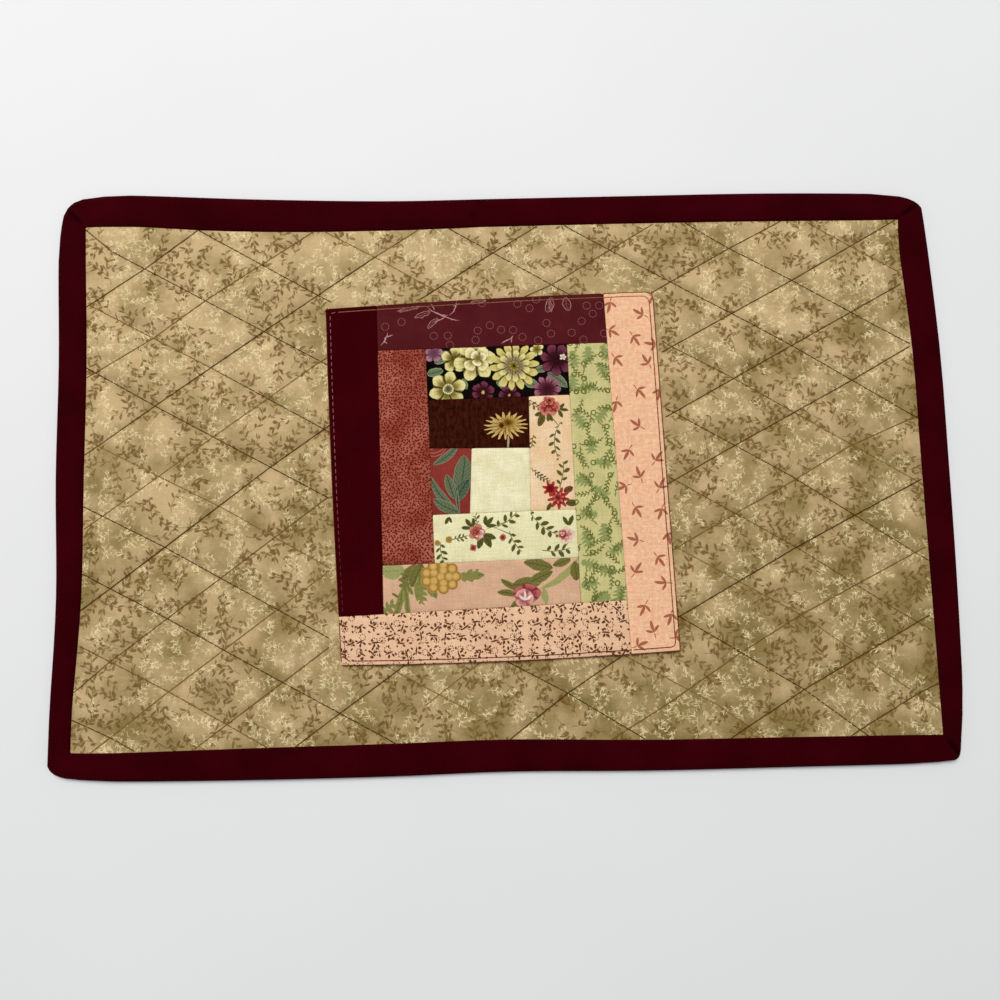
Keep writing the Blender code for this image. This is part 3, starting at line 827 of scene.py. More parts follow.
def make_binding():
    """Bend a grid round the edge, then press in the mitres, the join and the puckers."""
    seam, edge = binding_stations()
    cloth, u, v = grid_shares(len(seam) - 1, ACROSS)
    painted_fold_shade = cloth.verts.layers.float.new("painted_fold_shade")
    section = np.array(BINDING_SECTION)
    chords = np.hypot(np.diff(section[:, 0]) * BINDING_WIDTH, np.diff(section[:, 1]))
    girth = np.concatenate([[0], np.cumsum(chords)]) / chords.sum()
    share = np.interp(v, girth, section[:, 0])
    height = np.interp(v, girth, section[:, 1])
    station = np.rint(u * (len(seam) - 1)).astype(int)
    places = seam[station] + share[:, None] * (edge[station] - seam[station])
    on_top = ease(height, 2.2, 3.0)
    height += on_top * WAVE_HEIGHT * unevenness(places, WAVE_LENGTH, 11.0)
    puckers = SEWN_DEPTH + PUCKER_DEPTH * np.abs(unevenness(places, PUCKER_SPACING, 17.0))
    puckers *= on_top * bump_at(share * BINDING_WIDTH - SEWN_AT, SEWN_WIDTH)
    height -= puckers
    # painted shade in the puckers, and below in the mitre creases and the join
    shade = 0.5 * puckers
    for side, end in MITRED_CORNERS:
        off, reach = from_line(places, seam_sides[side][end], outer_sides[side][end])
        here = on_top * ease(reach, 0.0, 0.4) * (np.abs(off) < NEAR_A_FOLD)
        height -= here * CREASE_DEPTH * bump_at(off, CREASE_WIDTH)
        step = np.where(off > 0, UPPER_STEP, LOWER_STEP)
        height += here * step * np.exp(-np.abs(off) / STEP_REACH)
        soft = np.where(off > 0, 0.8, 2.2) * (1 + 0.4 * unevenness(places, 5.0, 41.0))
        shade += 0.8 * here * bump_at(off, soft)
    off, _ = from_line(places, *JOIN_LINE)
    here = on_top * (np.abs(off) < NEAR_A_FOLD) * (places[:, 1] > JOIN_SIDE)
    height += here * UPPER_STEP * np.exp(-np.abs(off) / STEP_REACH) * (off < 0)
    height -= here * JOIN_DEPTH * bump_at(off, JOIN_WIDTH)
    shade += 0.6 * here * bump_at(off, JOIN_SHADE_WIDTH)
    place_vertices(cloth.verts, places, height)
    for vertex, value in zip(cloth.verts, np.minimum(shade, 1.0)):
        vertex[painted_fold_shade] = value
    bmesh.ops.remove_doubles(cloth, verts=cloth.verts, dist=0.01 * MM)
    return smooth_piece("folded_binding", cloth, binding_cotton), length_of(edge)

# %% Dress the binding and the back
DYE_CLOUD = 25           # millimetres across a cloud of uneven dye


def dress_plain(name, colour, tone):
    """A cotton dyed in one colour, a little uneven, with painted shade inside its folds."""
    material, add = new_material(name)
    place = millimetres(add)
    cloud = add("MapRange", add("TexNoise", place, 1 / DYE_CLOUD, 3.0), 0.3, 0.7, 0.78, 1.22)
    # painted shade inside the folds, from the binding's vertex attribute
    folded = add("Attribute", attribute_name="painted_fold_shade").outputs["Fac"]
    shade = add("*", cloud, add("MULTIPLY_ADD", folded, -0.7, 1.0))
    finish_cotton(add, place, add("VectorMath.SCALE", tuple(linear(colour)[:3]), shade), tone)
    return material


def thicken(piece, millimetres_thick):
    """Give a folded or flat cloth its thickness, on its inner side."""
    shell = piece.modifiers.new("cloth_thickness", "SOLIDIFY")
    shell.thickness = millimetres_thick * MM
    shell.offset = -1.0


binding_cotton = dress_plain("burgundy_cotton", "#350007", 0.08)
backing_cotton = dress_plain("backing_cotton", "#C9B489", 0.12)
quilted_cloth.data.materials.append(backing_cotton)
folded_binding, binding_length = make_binding()
thicken(folded_binding, BINDING_THICKNESS)
print("binding", round(binding_length), "mm round,", len(folded_binding.data.polygons), "faces")

# %% [markdown]
# ## The patchwork block
# Thirteen scraps make a log-cabin block: a centre and three rounds of strips. Each is fitted to its
# own solid. Seams pull a scrap down along its sides, and the block's outer edges are turned under,
# so each height follows from the distance to a side. Rows of the grid crowd near the sides.

# %% Patch heights
PATCH_TOP, PATCH_THICKNESS = 4.05, 0.6
PATCH_WALL_HEIGHT = 3.4    # the solids' side walls
SEAM_GAP = 0.15            # the solids stop this short of each seam
EDGE_STEPS = [0.0, 0.3, 0.7, 1.2, 1.9, 2.9]      # the grid's lines near a side, from that side
PATCH_STEP = 1.3           # and about how far apart they are further in
PATCH_WAVES = [(0.10, 9.0, 23.0), (0.12, 30.0, 29.0)]      # height, length and seed
SEAM_DIPS = [(0.42, 0.8), (0.10, 2.5)]           # depth at the seam, and how soon it fades
FOLD_RADIUS, FOLD_DEPTH = 0.9, 1.05
HEM_HEIGHT, HEM_ENDS = 0.10, (5.0, 6.5)          # the turned-in cloth lifts a scrap up to here
# the strips along each edge of the block, where their sides are turned under
BLOCK_EDGES = {
    "near": ("strip_bottom_outer", "strip_right_outer"), "right": ("strip_right_outer",),
    "far": ("strip_left_outer", "strip_top_outer", "strip_right_outer"),
    "left": ("strip_bottom_outer", "strip_left_outer")}


def crowded(length):
    """Distances across a scrap: close together near its two sides."""
    count = max(2, round((length - 2 * EDGE_STEPS[-1]) / PATCH_STEP))
    inner = np.linspace(EDGE_STEPS[-1], length - EDGE_STEPS[-1], count + 1)
    return np.concatenate([EDGE_STEPS[:-1], inner, length - np.array(EDGE_STEPS[-2::-1])])


def seam_dip(distance):
    """How far a seam draws the cloth down: steeply beside it, and a little farther off."""
    return sum(depth * np.exp(-distance / reach) for depth, reach in SEAM_DIPS)


def turned_edge(distance):
    """A quarter round at the fold, and a slightly raised band where the hem lies beneath."""
    t = np.clip(distance / FOLD_RADIUS, 0, 1)
    fallen = FOLD_DEPTH * (1 - np.sqrt(1 - (1 - t) ** 2))
    return fallen - HEM_HEIGHT * (1 - ease(distance, *HEM_ENDS))

# %% Make a scrap
def make_patch(node, material):
    """Fit a crowded grid to a solid's outline and shape its sides."""
    sides = sides_of(outline_at(node, PATCH_WALL_HEIGHT))
    middle = (sides["near"][0] + sides["far"][-1]) / 2
    width = np.mean([length_of(sides["near"]), length_of(sides["far"])])
    depth = np.mean([length_of(sides["left"]), length_of(sides["right"])])
    grow = 1 + 2 * SEAM_GAP / np.array((width, depth))
    sides = {name: middle + (run - middle) * grow for name, run in sides.items()}
    xs, ys = crowded(width), crowded(depth)
    cloth, u, v = grid_shares(len(xs) - 1, len(ys) - 1)
    x = xs[np.rint(u * (len(xs) - 1)).astype(int)]
    y = ys[np.rint(v * (len(ys) - 1)).astype(int)]
    places = fitted_places(sides, x / width, y / depth)
    height = np.full(len(places), PATCH_TOP)
    for wave_height, wavelength, seed in PATCH_WAVES:
        height += wave_height * unevenness(places, wavelength, seed)
    for side, distance in (("left", x), ("right", width - x), ("near", y), ("far", depth - y)):
        turned = node in BLOCK_EDGES[side]
        height -= turned_edge(distance) if turned else seam_dip(distance)
    place_vertices(cloth.verts, places, height)
    piece = smooth_piece(node.replace("strip_", "patch_") + "_cloth", cloth, material)
    thicken(piece, PATCH_THICKNESS)
    return piece, sides, width, depth

# %% [markdown]
# ## The scraps' prints
# Every scrap comes from another cotton: roses on cream, gold and purple flowers on black, dotted
# rings on wine red, tiny sprigs on peach. The motifs are plain garden kinds, drawn with the groups
# above; short row makers keep their tables readable.

# %% Rows of the print tables
def leaf_inks(*colours):
    """Colours of a leaf's body, veins and rim."""
    return dict(zip(("Fill", "Vein", "Rim"), colours))


def petals(*colours):
    """Colours of a flower's petals, their folds, their tips and its disc."""
    return dict(zip(("Petal", "Fold", "Tip", "Disc"), colours))


def one_ink(ink):
    """A sprig's stem and leaves in the same ink."""
    return {"Stem": ink, "Leaf": ink}


def leaves(inks, *rows):
    """Rows of x, y, degrees, length, width and, where a leaf bends, its curl."""
    return [(leaf, x, y, degrees, dict(zip(("Length", "Width", "Curl"), (*sizes, 0.0))), inks)
            for x, y, degrees, *sizes in rows]


def blooms(*rows):
    """Rows of x, y, degrees, radius, petals, inks and, where they differ, notch, disc, squash and
    the point of the petals."""
    usual = (0.3, 0.0, 1.0, 0.5)
    made = []
    for x, y, degrees, radius, count, inks, *more in rows:
        sizes = (radius, count, *more, *usual[len(more):])
        keys = ("Radius", "Petals", "Notch", "Disc", "Squash", "Point")
        made.append((flower, x, y, degrees, dict(zip(keys, sizes)), inks))
    return made


def vines(ink, *rows):
    """Rows of x, y, degrees, half length, pitch, leaf length, leaf width and, if known, bend."""
    made = []
    for x, y, degrees, half, pitch, length, width, *bend in rows:
        sizes = {"Half Length": half, "Pitch": pitch, "Leaf Length": 1.15 * length,
                 "Leaf Width": 1.2 * width, "Bend": bend[0] if bend else 0.02, "Spread": 0.9,
                 "Stem Width": 0.35}
        made.append((sprig, x, y, degrees, sizes, one_ink(ink)))
    return made


def lobed(inks, x, y, degrees, half, pitch, length, width):
    """A leaf whose edge has deep round lobes: a sprig with leaves so broad that they merge."""
    sizes = {"Half Length": half, "Pitch": pitch, "Leaf Length": length, "Leaf Width": width,
             "Bend": 0.02, "Spread": 0.75, "Stem Width": 1.6, "Stagger": 0.0}
    return (sprig, x, y, degrees, sizes, one_ink(inks["Fill"]))

# %% Roses on cream and on peach
GREEN = leaf_inks("#5C5A2A", "#42421E")
BROWN_GREEN = leaf_inks("#665A28", "#46401C")
ROSE = petals("#B65448", "#74231E", "#D28A76")
ROSE_HEART = petals("#A03832", "#601414", "#C46E5C")
RED = petals("#9E2A26", "#601212", "#B43E36", "#C87464")
PALE_ROSE = petals("#E2B4A4", "#C07874", "#F0D2C2")
GOLD_BUD = petals("#B08A40", "#9A7430", "#C09A52")
STALK = {"Fill": "#6A6434"}

ROSE_VINES = [
    *leaves(STALK, (14.5, 36.5, -30, 7.5, 0.55, -0.2), (24.8, 27.5, -52, 7, 0.6, 0.2)),
    *leaves(BROWN_GREEN, (24, 29.8, -95, 5, 2.2)), *leaves(STALK, (28.6, -5.5, -88, 5.5, 0.6)),
    *vines("#5C5A2A", (26.5, 15.5, -95, 9, 4.2, 3.3, 1.5, 0.03)),
    *vines("#545026", (18.6, -3.2, -36, 5.5, 1.8, 1.9, 0.9)),
    *vines("#5C5A2A", (30.4, -2.5, 80, 6.5, 4.2, 3.6, 1.7), (15.2, 15, -100, 3.2, 2.2, 2.2, 1),
            (15.8, 34, -35, 3.5, 2.4, 2.2, 1)),
    *leaves(BROWN_GREEN, (21.5, 29.5, -112, 7.5, 3.8), (23.5, 29.5, -62, 5, 2.4),
            (21, 29.6, -165, 4.6, 2.4)),
    *leaves(GREEN, (29, 31, 48, 4.6, 2), (29, 31, -62, 4.6, 2.2), (29.6, 31.2, -4, 4.8, 1.8)),
    *blooms((24.2, 32.6, 18, 5.6, 5, ROSE, 0.30, 0, 1.1), (22.4, 32.6, 75, 3.9, 3, ROSE, 0.3),
            (26.2, 32.4, 5, 3.9, 3, ROSE, 0.3), (24.3, 34.4, 48, 3.9, 5, ROSE_HEART, 0.34, 0, 0.9),
            (24.2, 35.6, 90, 2.6, 3, ROSE, 0.34), (24.5, 36, 30, 1.4, 3, ROSE_HEART, 0.3)),
    *leaves(leaf_inks("#7A4A32", "#54301E"), (30.5, -11.5, 25, 5.5, 3.4)),
    *leaves(GREEN, (31.5, -17.5, 4, 6, 3.8), (24, -17, -120, 4.5, 2.2)),
    *blooms((23.8, -9.8, 10, 4.2, 7, RED, 0.45, 0, 1, 0.9),
            (27.9, -14.7, 30, 5.9, 9, RED, 0.45, 0, 1, 0.9),
            (27.6, -14.5, 10, 3.3, 7, petals("#B84038", "#6E1A18", "#D88070"), 0.5, 0, 1, 0.9)),
]
CREAM_ROSES = [
    *vines("#5A5628", (1, -26.3, 34, 7, 4, 3.6, 1.7), (4.6, -36.8, -60, 6, 3.6, 3.6, 1.6),
            (18.8, -28.6, -40, 8.5, 3.8, 3.8, 1.9), (26, -41.6, 4, 7, 3.8, 3.6, 1.8),
            (-32.4, -41.2, -80, 5.4, 3.2, 3.2, 1.5)),
    *vines("#5A5A34", (-23, -34.3, 12, 3.6, 2, 2.2, 1)),
    *vines("#5A5628", (-14.2, -25.2, 100, 2.4, 2, 2.4, 1)),
    *leaves(STALK, (-10, -30.2, 20, 13, 0.55), (-5.5, -29.2, -26, 12.5, 0.55, 0.15),
            (21.5, -31.8, -4, 9, 0.55), (33.2, -36.6, -130, 9, 0.55, -0.1),
            (-26.5, -34.9, 14, 10, 0.45)),
    *leaves(GREEN, (-10.5, -32.5, -62, 7.6, 3.6), (-11, -32.5, -18, 7, 3.2),
            (-11.5, -33.5, -108, 6.4, 3.4), (-16.5, -28.8, 128, 5.4, 2.3),
            (-17.2, -29.2, 176, 4.8, 2.1), (-16, -28.6, 84, 4.6, 2.1), (-9.6, -28.2, 48, 6, 2.4),
            (-9.8, -28, 88, 5, 2.2), (-9.4, -28.4, 4, 5.2, 2.1), (-28.2, -23.4, -118, 4.2, 2),
            (-28, -23.2, -70, 3.4, 1.4), (32.6, -28.8, 122, 5.4, 2.3), (33, -28.8, 72, 5.6, 2.4)),
    *blooms((-14.1, -31.4, 0, 4.4, 5, ROSE, 0.25), (-12.9, -32, 30, 2.7, 4, PALE_ROSE, 0.3),
            (-14.6, -30.8, 40, 2.5, 5, ROSE_HEART, 0.3), (-14.8, -30.4, 10, 1.3, 3, ROSE, 0.3),
            (31.2, -33.6, 15, 4.4, 5, PALE_ROSE, 0.25), (32.4, -33.2, 40, 2.6, 4, PALE_ROSE, 0.3),
            (29.5, -33.4, 60, 2.6, 5, ROSE_HEART, 0.3), (29.2, -33, 20, 1.3, 3, PALE_ROSE, 0.3),
            (-1, -34.2, 0, 1.8, 4, ROSE, 0.15), (-16.1, -39.2, 30, 2, 4, ROSE, 0.3),
            (-28.3, -34.8, 0, 1.8, 5, GOLD_BUD, 0.1), (-34.2, -36.4, 0, 1.6, 5, GOLD_BUD, 0.1)),
]
print("roses:", len(ROSE_VINES), "motifs on peach,", len(CREAM_ROSES), "on cream")

# %% Gold and purple flowers on black, and a golden one on brown
GREY_LEAF = leaf_inks("#6E7C5C", "#3A4A32", "#9CA680")
PURPLE = petals("#56202E", "#260A10", "#74384A", "#C9A25E")
MAUVE = petals("#6E3240", "#3A121C", "#A4687A")
YELLOW = petals("#B6A250", "#40360C", "#ECE09C")
PALE_YELLOW = petals("#C8B664", "#54460C", "#F4EAB2")
DARK_FLOWERS = [
    *leaves(GREY_LEAF, (-38.5, 51, 12, 8.5, 4.6), (-35, 56.5, 28, 8.5, 4.4),
            (-2, 47.5, -52, 6.5, 3.6), (10.5, 48, -28, 9.5, 4.6), (24, 50.5, -38, 12.5, 5.4, 0.2),
            (17, 51.5, 18, 7.5, 4), (-20.5, 48.5, -66, 6, 3.2), (-32, 62.5, -28, 8, 4.4)),
    *blooms((28.8, 57.5, 10, 8.8, 7, PURPLE, 0.25), (23.5, 41.9, 0, 7.4, 9, MAUVE, 0.25),
            (-9.7, 40.9, 20, 6, 6, PURPLE, 0.2, 0.16), (3.9, 39.2, 0, 5.8, 6, PURPLE, 0.2, 0.12),
            (-35, 62, 10, 5.2, 5, petals("#8E6070", "#5E3444", "#AC7C8C"), 0.2),
            (18.6, 63.2, 30, 3.8, 5, PALE_YELLOW, 0.3), (-24, 58.5, 15, 7.2, 5, YELLOW, 0.3),
            (-27.9, 42.8, 18, 9.8, 6, YELLOW, 0.32), (-27.6, 42.9, 0, 2.9, 16, PALE_YELLOW, 0.06),
            (-27.6, 42.9, 0, 2, 9, petals("#75704E", "#4A4630", "#8A8664"), 0.1),
            (-13.7, 57.8, 10, 11.2, 6, YELLOW, 0.32), (-12.8, 58.6, 44, 7.8, 4, PALE_YELLOW, 0.34),
            (-12, 59, 15, 4.6, 3, petals("#DCCE8C", "#6A5A20", "#FAF2C8"), 0.34),
            (6.6, 54.7, 5, 13.2, 14, petals("#A8943C", "#382E0A", "#DCCE80"), 0.28),
            (6.6, 54.7, 15, 8.8, 11, petals("#B8A650", "#483C0C", "#E8DA98"), 0.26),
            (6.6, 54.7, 0, 4.9, 16, petals("#7C6858", "#4A3A30", "#9A8870"), 0.15),
            (6.6, 54.7, 0, 3, 8, petals("#94862C", "#5C5218", "#A89A3C", "#241E10"), 0.2, 0.22),
            (32.2, 59.1, 0, 1.9, 5, petals("#E8DCC0", "#B8A080", "#F4ECD8"), 0.4)),
]
GOLDEN = petals("#AC8038", "#4E300C", "#DCBC74")
BROWN_SCRAP = [
    *leaves({"Fill": "#B69C74"}, (3, 19, -93, 9, 1.1)),
    *blooms((1.7, 23.2, 4, 11.6, 19, GOLDEN, 0.50, 0, 1.55, 1.1),
            (2.2, 24.2, 12, 8.6, 15, GOLDEN, 0.55, 0, 1.5, 1.2),
            (3, 24.8, 0, 5.2, 11, petals("#A07428", "#4E320C", "#CCA656"), 0.50, 0, 1.3, 1.2),
            (-0.6, 23.4, 0, 1.6, 6, petals("#5A3A10", "#3A2208", "#7A5620"), 0.3)),
]
print("dark scraps:", len(DARK_FLOWERS) + len(BROWN_SCRAP), "motifs")

# %% Gold cluster and rosebud on beige
MOSS = leaf_inks("#868448", "#66662F", "#9EA064")
PALE_MOSS = leaf_inks("#9EA066", "#868A4E", "#B2B27C")
OLIVE_LEAF = leaf_inks("#76703A", "#565226", "#8A864E")
PALE_BRANCH = {"Fill": "#A09E60"}
PALE_PINK = {"Fill": "#F0DACA"}
GOLD_BALL = petals("#BC9040", "#D4B068", "#966C2C")      # light in the middle, dark round it
GOLD_BALL_SIZES = {"Radius": 2.9, "Notch": 0.0, "Disc": 0.0, "Petals": 0.0}
CLUSTER = [(-32.7 + reach * math.cos(turn), -53.4 + 0.8 * reach * math.sin(turn), 40 * turn)
           for reach, turns in ((7.6, 9), (4.2, 5), (0.0, 1))
           for turn in np.linspace(0, 2 * math.pi, turns, endpoint=False)]
ROSEBUD = [
    *leaves(MOSS, (-48.6, -50.5, -107, 34, 3.6), (-51.2, -50, -85, 34, 3)),
    *leaves(OLIVE_LEAF, (-53.2, -63.3, 152, 4.6, 1.5)), *leaves(MOSS, (-50.2, -57, -56, 6.2, 2.8)),
    *leaves(PALE_MOSS, (-50.5, -49.6, 183, 12.5, 9)),
    lobed(OLIVE_LEAF, -48.2, -52.2, -130, 6.5, 3, 5.4, 3.4),
    *leaves(OLIVE_LEAF, (-43.5, -47.5, -140, 11, 6.5), (-42, -46.5, -115, 13, 7.5)),
    *leaves(MOSS, (-43.2, -53, -96, 12.5, 4.6)),
    lobed(MOSS, -42.5, -60, -96, 5.6, 2.7, 4.6, 2.8),
    *leaves(MOSS, (-39.6, -56, -60, 9.5, 4.6), (-24, -53.8, 4, 13.5, 4.4)),
    lobed(MOSS, -19.5, -53.6, 6, 5.6, 3.4, 4.4, 2.6),
    lobed(MOSS, -60, -69.3, 30, 4.6, 2.8, 4.4, 2.8),
    *leaves(PALE_BRANCH, (17, -60.5, 37, 26, 3.6, -0.35)),
    *leaves(OLIVE_LEAF, (6, -63, 172, 10.5, 3.6), (6, -61, 146, 10, 3.4), (7, -65, -130, 7.5, 3.2),
            (3, -58.5, 6, 15, 6.4), (12, -57, 24, 13, 5.4), (24, -50, 168, 15, 6),
            (24, -49, 20, 10, 4.2)),
    *leaves(PALE_BRANCH, (19, -60, -82, 8.5, 3.4)), *leaves(OLIVE_LEAF, (35, -47, -86, 10, 5.6)),
    *blooms((10.6, -62.6, 0, 7.2, 5, petals("#A44648", "#7E3036", "#BE6A64"), 0.06, 0, 1.5, 0.74),
            (9, -65, 0, 5, 3, petals("#CE8478", "#A4545A", "#E4AC9C"), 0.10, 0, 1, 0.55)),
    *leaves(PALE_PINK, (9.6, -66.2, 90, 5, 1.3), (9.4, -66, 32, 4.8, 1.5), (9.8, -66, 146, 4.2, 1.4)),
]
print("beige scrap:", len(ROSEBUD), "motifs and a cluster of", len(CLUSTER))

# %% Big grey leaves on red, and twigs and rings on wine red
FROND = leaf_inks("#6A7254", "#34443A", "#848C70")
DARK_FROND = leaf_inks("#54644E", "#26382E", "#748468")
PINK_ARC = {"Rim": "#C08078"}
BIG_LEAVES = [
    *leaves(FROND, (-36, 3.5, 38, 17, 4.2, -0.25)),
    *leaves(PINK_ARC, (-39.5, 9.5, 18, 11, 5, -0.3), (-40, 11, 8, 10, 3.2, -0.2)),
    *leaves(FROND, (-23.5, -12, 80, 20.5, 9.6, -0.2), (-25.2, -14, 108, 13, 5.2)),
    *leaves(DARK_FROND, (-24.2, -15.5, 60, 13, 6.6, 0.2)),
    *leaves(FROND, (-22.5, -21.5, 128, 25, 4.4, 0.32), (-22.8, -21, 152, 15, 5.6, 0.2),
            (-23, -21.5, 94, 12, 1.8, 0.1)),
]
TWIG = {"Rim": "#BC908C", "Vein": "#7E4C4C"}
TWIG_LINE = {"Fill": "#BC908C"}
RING_PLACES = [
    (-60, 76.6), (-51.5, 79), (-34.8, 71.3), (-27.5, 71.3), (-26.5, 66.3), (-13.1, 68.8), (-11.9, 73.8),
    (-9.4, 88.5), (-5.5, 76.5), (0.3, 74), (6.5, 73.8), (9.1, 87.8), (11.3, 70), (15.4, 85.4), (19, 90),
    (19.5, 68.1), (24.1, 77.3), (26.3, 71.6), (37.1, 71.9), (42.5, 78.1), (43.1, 68.1), (45.4, 86.3),
    (48.4, 81.9), (51.9, 86.3), (54, 71.3)]
TWIGS = [
    *leaves(TWIG, (-36.5, 84.5, 200, 8.8, 3, 0.1), (-32.5, 81, 226, 8, 2.8)),
    *leaves(TWIG_LINE, (-21, 79.2, 158, 13.5, 0.62, 0.25), (-27, 81.8, 62, 9, 0.62, -0.5),
            (-27, 82, 158, 12, 0.62, 0.3), (-28, 82, 205, 8, 0.62, 0.2), (-34, 85, 120, 4, 0.56),
            (-24.5, 87, 20, 4, 0.56)),
    *leaves(TWIG, (-54, 84.5, 12, 13, 2), (-16, 88.5, 10, 9, 2.2)),
    *leaves(TWIG_LINE, (-62.5, 66.5, 62, 8, 0.62, -0.3), (-60.5, 70.5, 20, 5, 0.62),
            (-61, 69, -40, 3, 0.56), (0, 66.8, 26, 6.5, 0.7), (5.4, 67, 80, 4, 0.62)),
    *leaves(TWIG, (27, 91, -108, 8.5, 4.4, 0.15), (34.5, 91, -80, 7.5, 4.2, -0.15),
            (26, 90, -84, 7, 1.8)),
]
print("red scraps:", len(BIG_LEAVES) + len(TWIGS), "motifs and", len(RING_PLACES), "rings")

# %% Small sprigs of three leaves
TRIO_LEAVES = [(0, 6.2, 1.7), (64, 4.4, 1.4), (-50, 4.4, 1.4), (176, 3.4, 0.6)]


def draw_trio():
    """One long leaf, two short ones beside it, and a stalk behind; the veins stay bare."""
    tree, add, given = new_group("leaf_trio", {"Place": ORIGIN}, ["Ink"])
    ink = 0.0
    for degrees, length, width in TRIO_LEAVES:
        turned = add("VectorRotate", given["Place"], rotation_type="Z_AXIS",
                     sockets={"Angle": math.radians(-degrees)})
        part = add("Group", node_tree=leaf, sockets={
            "Place": turned, "Length": length, "Width": width, "Curl": 0.12})
        shade = add("*", part.outputs["Fill"], 0.85)
        shade = add("MAXIMUM", shade, part.outputs["Rim"])
        ink = add("MAXIMUM", shade, ink)
    add("NodeGroupOutput", ink)
    return tree


leaf_trio = draw_trio()
TRIO_PLACES = [
    (74.8, 81.0, 150), (69.0, 69.5, -58), (59.2, 58.2, -52), (76.6, 54.6, 120), (70.3, 41.2, -50),
    (70.8, 21.8, 145), (64.8, 9.6, -120), (78.2, 3.6, 52), (70.2, -4.8, 108), (57.7, 88.0, -105),
    (56.6, 73.0, -30), (80.6, 65.0, 170), (81.6, 41.0, -100), (59.0, 35.0, -105), (79.6, 90.4, -60),
    (66.7, -20.2, -60), (80.4, -21.1, -112), (67.8, -36.9, 165), (82.8, -33.7, -80), (77.1, -45.6, -55),
    (65.4, -53.3, 55), (81.1, -58.7, 175), (69.9, -69.7, -118), (82.9, -74.4, -110), (73.9, -83.2, 105),
    (84.6, -86.0, 10), (65.2, -89.9, 20), (62.6, -9.0, -160), (79.6, -10.5, 60)]
print(len(TRIO_PLACES), "sprigs of three leaves")

# %% [markdown]
# Small prints that repeat everywhere are strewn instead of placed. Each layer is a row with its
# motif, spacing, seed, sizes and inks. A motif that comes back at typed points, such as a ring, is
# drawn once for them all. Under the print lies a ground of two tones in soft clouds.

# %% Strewn layers
def layer(motif, spacing, seed, sizes, inks, jitter=0.6, part_at=(0.0, 0.0, 0.0)):
    """Layers with the same spacing and seed share their places, so a motif can have several parts,
    each with its own place (x, y, degrees) in the motif."""
    return (motif, spacing, seed, sizes, inks, jitter, part_at)


# a stroke and three drops beside it: length, width, place in the motif
TINY_SPRIG = [(4.6, 0.95, (-2.3, -0.4, 0)), (2.2, 1.25, (0.2, 0.3, 60)),
              (2.0, 1.15, (-1.1, 0.4, 112)), (1.8, 1.05, (0.9, -0.9, -42))]
TINY_RING = {"Radius": 1.45, "Dots": 8.0, "Thickness": 0.42}
GREEN_RING = {"Radius": 1.15, "Dots": 0.0, "Thickness": 0.45}
GREEN_VINE = {"Half Length": 6.5, "Pitch": 1.9, "Leaf Length": 1.9, "Leaf Width": 0.9,
              "Stem Width": 0.4}
RED_DOT = {"Radius": 0.57, "Petals": 3.0, "Notch": 0.2, "Disc": 0.0}
STREWN = {
    "strip_bottom_outer": [
        layer(leaf, 4.2, 4, {"Length": 1.7, "Width": 1.05}, {"Fill": "#6C4022"}),
        layer(dotted_ring, 6.2, 3, TINY_RING, {"Ink": "#6C4022"}),
        *[layer(leaf, 7.2, 2, {"Length": length, "Width": width}, {"Fill": "#5E361A"}, 0.5, part_at)
          for length, width, part_at in TINY_SPRIG]],
    "strip_right_middle": [
        layer(sprig, 12.0, 7, {**GREEN_VINE, "Bend": 0.04}, one_ink("#64682F")),
        layer(sprig, 14.0, 8, {**GREEN_VINE, "Bend": -0.05}, one_ink("#6A6E34")),
        layer(dotted_ring, 9.0, 9, GREEN_RING, {"Ink": "#666C32"})],
    "strip_left_middle": [layer(flower, 1.32, 10, RED_DOT, {"Petal": "#661610"}, 0.85)],
}

# %% Placed and repeated motifs
PLACED = {
    "strip_right_inner": ROSE_VINES, "strip_bottom_inner": CREAM_ROSES,
    "strip_top_middle": DARK_FLOWERS, "strip_top_inner": BROWN_SCRAP,
    "strip_bottom_middle": ROSEBUD, "strip_left_inner": BIG_LEAVES, "strip_top_outer": TWIGS}
LOBED_LEAF = {"Half Length": 4.0, "Pitch": 1.9, "Leaf Length": 5.2, "Leaf Width": 2.1,
              "Spread": 0.95, "Stem Width": 2.4, "Stagger": 0.0, "Bend": 0.0}
LOBED_PLACES = [
    (45.4, 60.3, -90), (52.4, 51.9, -60), (37.5, 58.2, -80), (54.0, 61.2, -70), (44.8, 42.8, 170),
    (51.6, 28.5, -130), (40.0, 25.5, -60), (45.5, 13.0, -95), (51.0, 3.2, -10), (41.7, -6.2, 160),
    (49.2, -11.6, -30), (37.0, 45.6, -90), (43.3, -23.0, 170), (50.8, -32.1, -85),
    (41.8, -35.6, -70), (57.0, -41.1, -150), (42.4, -48.7, -20), (51.7, -52.0, 175),
    (42.1, -58.5, 15), (57.4, -63.5, -95), (48.2, -65.4, 5)]
# the motif, its points, sizes and inks
REPEATED = {
    "strip_top_outer": (dotted_ring, [(x, y, 0.0) for x, y in RING_PLACES],
                        {"Radius": 1.9, "Thickness": 0.26}, {"Ink": "#A87472"}),
    "strip_bottom_middle": (flower, CLUSTER, GOLD_BALL_SIZES, GOLD_BALL),
    "strip_right_outer": (leaf_trio, TRIO_PLACES, {}, {"Ink": "#98442C"}),
    "strip_right_middle": (sprig, LOBED_PLACES, LOBED_LEAF, one_ink("#90985C"))}
print(len(PLACED), "scraps with placed motifs,", len(REPEATED), "with repeated ones and",
      len(STREWN), "with strewn ones")

